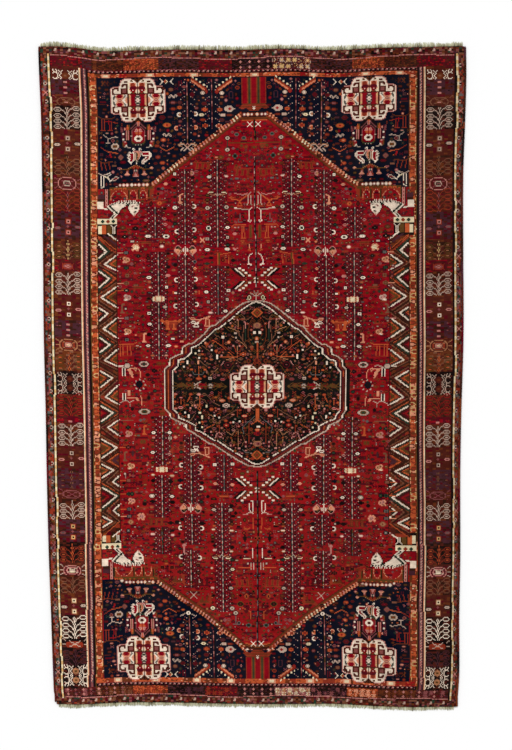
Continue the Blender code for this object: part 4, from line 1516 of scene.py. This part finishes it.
left_at = edge_curve(rim[:, 1], -rim[:, 0], 0.92, np.abs(rim[:, 1]) < 1.275)
right_at = edge_curve(rim[:, 1], rim[:, 0], 0.92, np.abs(rim[:, 1]) < 1.275)
bottom_at = edge_curve(rim[:, 0], -rim[:, 1], 0.983, np.abs(rim[:, 0]) < 0.74)
top_at = edge_curve(rim[:, 0], rim[:, 1], 0.983, np.abs(rim[:, 0]) < 0.82)
WOOL_PAST_CAD = ((bottom_at, 0.0135), (right_at, 0.0025), (top_at, 0.0065))
for (_, out), further in WOOL_PAST_CAD:
    out += further

# The borders were woven by eye and wander. For some heights along the rug: how far right each of them stands.
RIGHT_WANDERS = ((0, 0.07, 0.19, 0.31, 0.5, 0.61, 0.79, 0.91, 1),
                 (0.006, 0.009, 0.012, 0.0148, 0.0062, 0.002, 0.004, -0.003, -0.006))
LEFT_WANDERS = ((0, 0.19, 0.31, 0.5, 0.65, 0.79, 0.91, 1),
                (-0.003, -0.0015, 0.002, 0.001, 0, 0.0025, 0.0045, 0.003))
WANDERS_WHERE = ((0.81, 0.87, 0.91, 0.983, 1), (0, 1, 1, 0.45, 0))


def on_carpet(u, v):
    """The place on the floor for u across and v along, both from 0 to 1."""
    y = carpet_low[1] + v * (carpet_high[1] - carpet_low[1])
    for _ in range(3):
        x = -np.interp(y, *left_at) * (1 - u) + np.interp(y, *right_at) * u
        y = -np.interp(x, *bottom_at) * (1 - v) + np.interp(x, *top_at) * v
    x = x + np.interp(v, *RIGHT_WANDERS) * np.interp(u, *WANDERS_WHERE)
    return x + np.interp(v, *LEFT_WANDERS) * np.interp(1 - u, *WANDERS_WHERE), y


print(f"carpet: {1000 * (right_at[1].mean() + left_at[1].mean()):.0f} mm wide on average, "
      f"{1000 * (top_at[1].mean() + bottom_at[1].mean()):.0f} mm long")

# %% [markdown]
# ## Wool
# One recipe makes every wool piece. Each face carries a number, `dye`, that says which vat its knot came
# from, and a colour ramp with hard steps turns the number into a colour: that ramp is the dye card itself. A
# second number, `shade`, makes each knot a little lighter or darker. Fine noise over that gives the fibres,
# and a bump from the same noise breaks up the light as cut wool does.

# %% Wool
DYE_STEPS = 32
ROOM_LIGHT = 1.12  # how bright the lit floor is for a surface of its own colour; the dyes allow for it


def as_light(colour):
    """A colour given as on a screen, turned into linear light."""
    dark, bright = [v / 255 / 12.92 for v in colour], [((v / 255 + 0.055) / 1.055) ** 2.4 for v in colour]
    return [b / ROOM_LIGHT if v > 10 else d for v, d, b in zip(colour, dark, bright)] + [1]


def new_wool(name, **settings):
    """A material with only its shader, and the shader's settings."""
    made = bpy.data.materials.new(name)
    made.use_nodes = True
    shader = made.node_tree.nodes["Principled BSDF"]
    for socket, value in settings.items():
        shader.inputs[socket.replace("_", " ")].default_value = value
    return made, shader


def add_node(material, kind, **settings):
    """A shader node. A setting with a capital letter is a socket, any other one a property of the node."""
    node = material.node_tree.nodes.new("ShaderNode" + kind)
    for name, value in settings.items():
        if name[0].isupper():
            node.inputs[name.replace("_", " ")].default_value = value
        else:
            setattr(node, name, value)
    return node


def join(giver, output, taker, socket):
    """Link one node's output to another one's socket."""
    giver.id_data.links.new(giver.outputs[output], taker.inputs[socket])


def wool(name, fibre=0.0009, fuzz=0.25, dull=0.0):
    """A wool material. fibre is how thick its fibres are, fuzz how much they show, dull how faded it is;
    noise adds painted sheen and wear.
    """
    made, shader = new_wool(name, Roughness=0.95, Specular_IOR_Level=0.02)
    dye = add_node(made, "Attribute", attribute_name="dye")
    card = add_node(made, "ValToRGB")
    card.color_ramp.interpolation = "CONSTANT"
    for i, (_, colour) in enumerate(DYES.values()):
        stop = card.color_ramp.elements[0] if i == 0 else card.color_ramp.elements.new(i / DYE_STEPS)
        stop.position = i / DYE_STEPS
        stop.color = as_light(colour)
    card.color_ramp.elements.remove(card.color_ramp.elements[-1])
    join(dye, "Fac", card, "Fac")

    shade = add_node(made, "Attribute", attribute_name="shade")
    place = add_node(made, "TexCoord")
    fibres = add_node(made, "TexNoise", Scale=1 / fibre, Detail=3)
    join(place, "Object", fibres, "Vector")
    light = add_node(made, "MapRange", To_Min=1 - fuzz, To_Max=1 + fuzz)
    join(fibres, "Fac", light, "Value")
    both = add_node(made, "Math", operation="MULTIPLY")
    join(light, "Result", both, 0)
    join(shade, "Fac", both, 1)
    tint = add_node(made, "VectorMath", operation="SCALE")
    join(card, "Color", tint, 0)
    join(both, "Value", tint, "Scale")

    # Painted sheen and wear: in broad patches the wool is mixed a little towards a greyish brown, which
    # stands for the grey sheen of the pile as well as real fading.
    wear_and_sheen = add_node(made, "TexNoise", Scale=9, Detail=4)
    join(place, "Object", wear_and_sheen, "Vector")
    faded = add_node(made, "Mix", data_type="RGBA", B=as_light((150, 118, 100)))
    amount = add_node(made, "MapRange", From_Min=0.35, From_Max=0.75, To_Min=dull, To_Max=dull + 0.03)
    join(wear_and_sheen, "Fac", amount, "Value")
    join(amount, "Result", faded, "Factor")
    join(tint, "Vector", faded, "A")
    join(faded, "Result", shader, "Base Color")

    bump = add_node(made, "Bump", Strength=0.35, Distance=fibre)
    join(fibres, "Fac", bump, "Height")
    join(bump, "Normal", shader, "Normal")
    return made


print("the recipe is ready")


# %% Numbers on the faces, and the three wools
def on_faces(mesh, name, values):
    """Write one number for each face under a name that materials can read."""
    layer = mesh.attributes.new(name, "FLOAT", "FACE")
    layer.data.foreach_set("value", np.asarray(values, dtype=np.float32).ravel())


def dye_number(letters):
    """Where each letter's wool stands on the dye card, as a number from 0 to 1."""
    lookup = {letter: (i + 0.5) / DYE_STEPS for i, letter in enumerate(DYES)}
    return np.vectorize(lookup.get)(letters).astype(float)


PILE_WOOL = wool("pile wool")
BACK_WOOL = wool("wool at the back", fibre=0.0014, dull=0.30)
SELVEDGE_WOOL = wool("selvedge wool", fibre=0.0007, fuzz=0.3)
print("wools ready:", PILE_WOOL.name, BACK_WOOL.name, SELVEDGE_WOOL.name)

# %% [markdown]
# ## Pile
# Every knot becomes one small face, so the pattern is in the mesh and not in a picture. The grid has one more
# ring of faces than the chart: it is turned down at the rim, where the cut wool shows its side. The pile is
# made in six pieces only because one piece of that size would be too heavy. They share their edge points.

# %% Pile
PILE_HIGH = 0.0097
RIM_HEIGHTS = np.array([0.0008, 0.0071, 0.0086, 0.0093, PILE_HIGH])  # height at each point in from the rim
PILE_PIECES_ACROSS, PILE_PIECES_ALONG = 2, 3
SIDE_LIGHT = ((-1, -0.78, -0.7, 0, 0.6, 1), (1.14, 1.14, 1.0, 0.96, 0.86, 0.78))  # from left to right
wander = np.random.default_rng(7)

u = np.concatenate(([0], np.linspace(0, 1, KNOTS + 1), [1]))
v = np.concatenate(([0], np.linspace(0, 1, ROWS + 1), [1]))
grid_u, grid_v = np.meshgrid(u, v)
pile_x, pile_y = on_carpet(grid_u, grid_v)
inward_u = np.minimum(np.arange(len(u)), np.arange(len(u))[::-1])
inward_v = np.minimum(np.arange(len(v)), np.arange(len(v))[::-1])
inward = np.minimum(inward_u[None, :], inward_v[:, None])
pile_z = RIM_HEIGHTS[np.minimum(inward, len(RIM_HEIGHTS) - 1)]
pile_z = pile_z + np.where(inward > 1, wander.normal(0, 0.00016, pile_z.shape), 0)
pile_z = pile_z + np.where(inward > 2, 0.0002 * np.sin(pile_x * 9 + 2 * np.sin(pile_y * 4)), 0)
pile_z = np.minimum(pile_z, carpet_high[2] + 0.0004)

print(f"pile: {pile_x.size} points")

# %% Dye and shade of each knot
padded_chart = np.pad(chart, 1, mode="edge")
dye_of = dye_number(padded_chart)
knot_shade = 1 + wander.normal(0, 0.07, dye_of.shape)
knot_shade += wander.normal(0, 0.035, (dye_of.shape[0], 1))
for patch, strength in ((3, 0.10), (9, 0.06), (40, 0.04)):  # wool takes the dye unevenly, in patches
    coarse_noise = wander.normal(0, strength, (dye_of.shape[0] // patch + 2, dye_of.shape[1] // patch + 2))
    at_v = np.arange(dye_of.shape[0]) / patch
    at_u = np.arange(dye_of.shape[1]) / patch
    v0, u0 = at_v.astype(int), at_u.astype(int)
    fv, fu = (at_v - v0)[:, None], (at_u - u0)[None, :]
    for rows, share in ((coarse_noise[v0], 1 - fv), (coarse_noise[v0 + 1], fv)):
        knot_shade += (rows[:, u0] * (1 - fu) + rows[:, u0 + 1] * fu) * share
knot_shade *= np.interp(np.linspace(-1, 1, dye_of.shape[1]), *SIDE_LIGHT)
knot_shade = np.clip(knot_shade, 0.5, 1.4)
print(f"shades: {knot_shade.min():.2f} to {knot_shade.max():.2f}")


# %% Pieces and their maps
def new_piece(name, points, faces):
    """An object with a mesh of these points and faces."""
    mesh = bpy.data.meshes.new(name)
    mesh.from_pydata(points, [], faces)
    made = bpy.data.objects.new(name, mesh)
    bpy.context.scene.collection.objects.link(made)
    return made


def grid_piece(name, x, y, z):
    """Four-sided faces over a grid of points."""
    tall, wide = x.shape
    points = np.stack((x, y, z), axis=-1).reshape(-1, 3)
    first = (np.arange(tall - 1)[:, None] * wide + np.arange(wide - 1)[None, :]).reshape(-1)
    faces = np.stack((first, first + 1, first + wide + 1, first + wide), axis=-1)
    return new_piece(name, points.tolist(), faces.tolist())


def bake_map(made, x, y):
    """A flat map of the piece, its own box stretched to fill the square."""
    across_points = (x - x.min()) / (x.max() - x.min())
    along_points = (y - y.min()) / (y.max() - y.min())
    flat_points = np.stack((across_points, along_points), axis=-1).reshape(-1, 2)
    corners = np.empty(len(made.data.loops), dtype=np.int32)
    made.data.loops.foreach_get("vertex_index", corners)
    layer = made.data.uv_layers.new(name="OFBake")
    layer.uv.foreach_set("vector", flat_points[corners].astype(np.float32).ravel())


print("pieces can be made")

# %% Pile pieces
column_cuts = np.linspace(0, len(u) - 1, PILE_PIECES_ACROSS + 1).round().astype(int)
row_cuts = np.linspace(0, len(v) - 1, PILE_PIECES_ALONG + 1).round().astype(int)
for j in range(PILE_PIECES_ALONG):
    for i in range(PILE_PIECES_ACROSS):
        c0, c1, r0, r1 = column_cuts[i], column_cuts[i + 1], row_cuts[j], row_cuts[j + 1]
        part = np.s_[r0:r1 + 1, c0:c1 + 1]
        piece = grid_piece(f"pile_{('left', 'right')[i]}_{j + 1}", pile_x[part], pile_y[part], pile_z[part])
        on_faces(piece.data, "dye", dye_of[r0:r1, c0:c1])
        on_faces(piece.data, "shade", knot_shade[r0:r1, c0:c1])
        bake_map(piece, pile_x[part], pile_y[part])
        piece.data.materials.append(PILE_WOOL)
        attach(piece, BODY)

# %% [markdown]
# ## Foundation
# Under the pile lies the woven ground, the side that touches the floor. The back of a knotted rug shows the
# same pattern, duller and flatter, so the sheet takes its dyes from every third knot of the chart.

# %% Foundation
COARSE = 3
GROUND_HIGH = 0.0007
ground_u, ground_v = np.meshgrid(np.linspace(0.001, 0.999, KNOTS // COARSE + 1),
                                 np.linspace(0.0007, 0.9993, ROWS // COARSE + 1))
ground_x, ground_y = on_carpet(ground_u, ground_v)
ground_z = np.full(ground_x.shape, GROUND_HIGH) + wander.uniform(-0.0001, 0.0001, ground_x.shape)
foundation = grid_piece("foundation", ground_x, ground_y, ground_z)
coarse = chart[COARSE // 2::COARSE, COARSE // 2::COARSE][:ROWS // COARSE, :KNOTS // COARSE]
on_faces(foundation.data, "dye", dye_number(coarse))
on_faces(foundation.data, "shade", wander.normal(0.92, 0.06, coarse.shape))
bake_map(foundation, ground_x, ground_y)
foundation.data.materials.append(BACK_WOOL)
foundation.data.flip_normals()
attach(foundation, BODY)
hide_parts("carpet")
print(f"foundation: {2 * len(foundation.data.polygons)} triangles")

# %% [markdown]
# ## Selvedges
# A bundle of warps at each side is wrapped round and round with dark wool, and it reads as a ribbed cord. The
# cord follows the carpet's edge, and each turn of the wrapping swells and dips. Now and then the weaver ran
# out of yarn and went on with red or plum.

# %% Selvedges
CORD_RADIUS = 0.00415
CORD_GAP = 0.0003
WRAP_PITCH = 0.0036
RINGS_A_WRAP = 4
CORD_SIDES = 10


def overcast_cord(name, side, edge, node):
    """The wrapped cord down one side: side is -1 or 1, edge the carpet's outline there."""
    low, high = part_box(node)
    wraps = int((high[1] - low[1]) / WRAP_PITCH)
    rings = wraps * RINGS_A_WRAP + 1
    y = np.linspace(low[1] - 0.042, high[1] + 0.024, rings)
    x = side * (np.interp(y, *edge) + CORD_GAP + CORD_RADIUS)
    turn = np.linspace(0, 2 * math.pi, CORD_SIDES, endpoint=False)
    swell = 0.90 + 0.10 * np.abs(np.sin(np.pi * np.arange(rings) / RINGS_A_WRAP))
    uneven = np.repeat(wander.uniform(0.94, 1.0, wraps + 1), RINGS_A_WRAP)[:rings]
    close = np.clip(np.minimum(np.arange(rings), np.arange(rings)[::-1]) / 5, 0.15, 1) ** 0.5
    radius = CORD_RADIUS * swell * uneven * close
    slant = 0.0011 * np.sin(turn)
    points_x = x[:, None] + radius[:, None] * np.cos(turn)[None, :]
    points_y = y[:, None] + slant[None, :] * close[:, None]
    points_z = CORD_RADIUS + radius[:, None] * np.sin(turn)[None, :]
    points = np.stack((points_x, points_y, points_z), axis=-1).reshape(-1, 3)
    ring, spoke = np.divmod(np.arange((rings - 1) * CORD_SIDES), CORD_SIDES)
    after = (spoke + 1) % CORD_SIDES
    this, following = ring * CORD_SIDES, (ring + 1) * CORD_SIDES
    faces = np.stack((this + spoke, following + spoke, following + after, this + after), axis=-1).tolist()
    caps = [list(range(CORD_SIDES)), list(range((rings - 1) * CORD_SIDES, rings * CORD_SIDES))[::-1]]
    cord = new_piece(name, points.tolist(), faces + caps)
    wools = []
    while len(wools) < wraps:
        run = int(wander.integers(6, 40))
        wools += [str(wander.choice(list("dxkuxdmbx")))] * run
    per_face = np.array(wools)[np.minimum(ring // RINGS_A_WRAP, wraps - 1)]
    on_faces(cord.data, "dye", np.append(dye_number(per_face), [dye_number("k")] * 2))
    # Painted shade: each turn of the wrapping is lighter where it swells and darker in the dips between
    # turns.
    on_faces(cord.data, "shade", np.append(1.25 + 0.3 * (swell[ring] - 0.95) / 0.05, [1, 1]))
    cord.data.shade_smooth()
    cord.data.materials.append(SELVEDGE_WOOL)
    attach(cord, BODY)
    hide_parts(node)
    print(f"{name}: {wraps} turns of yarn, {2 * len(faces)} triangles")
    return cord


selvedges = [
    overcast_cord("wrapped_side_left", -1, left_at, "selvedge_left"),
    overcast_cord("wrapped_side_right", 1, right_at, "selvedge_right"),
]

# %% [markdown]
# ## Fringes
# The warps are cut short at both ends. They are undyed wool, cream with a green-grey cast that is darker
# where they come out of the pile, and stand out as a thick soft band with a ragged edge. There is one tuft
# for each column of knots, and most have a stray hair.

# %% Warp wool
def warp_wool(name):
    """Undyed spun wool: cream, darker and greener where it comes out of the pile."""
    made, shader = new_wool(name, Roughness=0.9, Specular_IOR_Level=0.15, Sheen_Weight=0.15)
    shade = add_node(made, "Attribute", attribute_name="shade")
    ramp = add_node(made, "ValToRGB")
    ramp.color_ramp.elements[0].color = as_light((84, 76, 54))
    ramp.color_ramp.elements[1].color = as_light((236, 236, 212))
    ramp.color_ramp.elements.new(0.5).color = as_light((188, 184, 150))
    place = add_node(made, "TexCoord")
    twist = add_node(made, "TexNoise", Scale=900)
    join(place, "Object", twist, "Vector")
    mixed = add_node(made, "Math", operation="MULTIPLY_ADD")
    mixed.inputs[1].default_value = 0.5
    join(twist, "Fac", mixed, 0)
    join(shade, "Fac", mixed, 2)
    join(mixed, "Value", ramp, "Fac")
    join(ramp, "Color", shader, "Base Color")
    bump = add_node(made, "Bump", Strength=0.4, Distance=0.0006)
    join(twist, "Fac", bump, "Height")
    join(bump, "Normal", shader, "Normal")
    return made


WARP_WOOL = warp_wool("undyed warp wool")
print("warp wool ready")

# %% One tuft
TUFT_SIDES, TUFT_RINGS = 6, 6
HAIR_SIDES, HAIR_RINGS = 3, 4
TUFT_RADIUS = 0.0021
HAIR_SHARE = 0.8
FRINGE_LONG = {1: 0.0205, -1: 0.0172}  # at the wide end and at the narrow end
FRINGE_WIDER = {1: 0.014, -1: 0.022}  # how far the row of tufts runs past its CAD box at each side


def tuft(path, radii, sides, start):
    """Points and faces of one tapering tuft along a path. start is the number of its first point."""
    points, faces = [], []
    for k, (spot, radius) in enumerate(zip(path, radii)):
        for s in range(sides):
            angle = 2 * math.pi * s / sides
            height = max(0.0001, spot[2] + radius * math.sin(angle))
            points.append((spot[0] + radius * math.cos(angle), spot[1], height))
            if k:
                ahead = (s + 1) % sides
                base = start + (k - 1) * sides
                faces.append((base + s, base + ahead, base + sides + ahead, base + sides + s))
    faces.append(tuple(start + s for s in range(sides))[::-1])
    faces.append(tuple(start + (len(path) - 1) * sides + s for s in range(sides)))
    return points, faces


print("tufts can be made")


# %% Fringes
def fringe(name, out, edge, node):
    """Tufts along one end: out is 1 at the wide end and -1 at the narrow one, edge the outline there."""
    low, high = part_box(node)
    points, faces, shades = [], [], []
    ends_x = np.linspace(low[0] - FRINGE_WIDER[out], high[0] + FRINGE_WIDER[out], KNOTS)
    for n, x in enumerate(ends_x):
        root_y = out * np.interp(x, *edge)
        long = 0.86 + 0.14 * math.sin(n * 0.11) * math.sin(n * 0.031 + 1) + wander.normal(0, 0.09)
        long = FRINGE_LONG[out] * min(long, 1.08)
        lean = wander.normal(0.0006, 0.0018)
        thick = TUFT_RADIUS * wander.uniform(0.8, 1.15)
        for is_hair in (False, True) if wander.random() < HAIR_SHARE else (False,):
            sides = HAIR_SIDES if is_hair else TUFT_SIDES
            rings = HAIR_RINGS if is_hair else TUFT_RINGS
            size = thick * (0.3 if is_hair else 1)
            reach = long * (wander.uniform(0.9, 1.08) if is_hair else 1)
            curl = wander.normal(0, 0.002 if is_hair else 0.0006)
            path, radii = [], []
            for k in range(rings):
                t = k / (rings - 1)
                height = 0.0024 + 0.0012 * math.sin(math.pi * t) + 0.0016 * t * is_hair - 0.0009 * t * t
                along = root_y + out * reach * (t - 0.06)
                path.append((x + lean * t + curl * math.sin(2.4 * t), along, height))
                body = 0.75 + 0.35 * math.sin(math.pi * min(1, t + 0.15))
                radii.append(size * body * (1 - 0.55 * t ** 5))
            new_points, new_faces = tuft(path, radii, sides, len(points))
            points += new_points
            faces += new_faces
            tone = wander.uniform(-0.22, 0.22) + 0.2 * math.sin(n * 0.37) * math.sin(n * 0.083 + 2)
            for k in range(rings - 1):
                shades += [-0.02 + 0.42 * ((k + 0.5) / (rings - 1)) ** 0.8 + tone] * sides
            shades += [0.0, 0.3 + tone]
    made = new_piece(name, points, faces)
    on_faces(made.data, "shade", shades)
    made.data.materials.append(WARP_WOOL)
    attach(made, BODY)
    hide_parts(node)
    triangles = sum(len(f) - 2 for f in faces)
    print(f"{name}: {KNOTS} tufts, {triangles} triangles")
    return made


fringes = [
    fringe("warp_ends_top", 1, top_at, "fringe_top"),
    fringe("warp_ends_bottom", -1, bottom_at, "fringe_bottom"),
]

# %% [markdown]
# ## Floor, light and camera
# A rug is judged in even light, so the room is white all round with one wide soft sun a little to one side,
# enough to catch the knots. The camera hangs straight above with a long lens, and the frame is a little
# longer and wider than the rug.

# %% Floor, light and camera
FLOOR_HALF = 6.0
CAMERA_HIGH = 9.0
FRAME_LONG = 2.955
FRAME_MIDDLE = (0.016, 0.002)
SENSOR = 36.0

bpy.ops.mesh.primitive_plane_add(size=2 * FLOOR_HALF, location=(0, 0, 0))
floor = bpy.context.object
floor.name = "floor"
floor_paint = bpy.data.materials.new("white floor")
floor_paint.use_nodes = True
paint = floor_paint.node_tree.nodes["Principled BSDF"]
paint.inputs["Base Color"].default_value = (0.93, 0.93, 0.93, 1)
paint.inputs["Roughness"].default_value = 1.0
paint.inputs["Specular IOR Level"].default_value = 0.0
floor.data.materials.append(floor_paint)

world = bpy.data.worlds.new("white room")
bpy.context.scene.world = world
world.use_nodes = True
world.node_tree.nodes["Background"].inputs["Color"].default_value = (1, 1, 1, 1)
world.node_tree.nodes["Background"].inputs["Strength"].default_value = 0.62

sun_data = bpy.data.lights.new("soft sun", "SUN")
sun_data.energy = 1.75
sun_data.angle = math.radians(25)
sun = bpy.data.objects.new("soft sun", sun_data)
sun.rotation_euler = (math.radians(-28), math.radians(-22), 0)
bpy.context.scene.collection.objects.link(sun)

camera_data = bpy.data.cameras.new("camera above")
camera_data.sensor_fit = "VERTICAL"
camera_data.sensor_height = SENSOR
camera_data.lens = SENSOR * (CAMERA_HIGH - carpet_high[2]) / FRAME_LONG
camera = bpy.data.objects.new("camera above", camera_data)
camera.location = (*FRAME_MIDDLE, CAMERA_HIGH)
bpy.context.scene.collection.objects.link(camera)
bpy.context.scene.camera = camera
bpy.context.scene.view_settings.view_transform = "Standard"
print(f"camera {CAMERA_HIGH} m up, lens {camera_data.lens:.0f} mm")
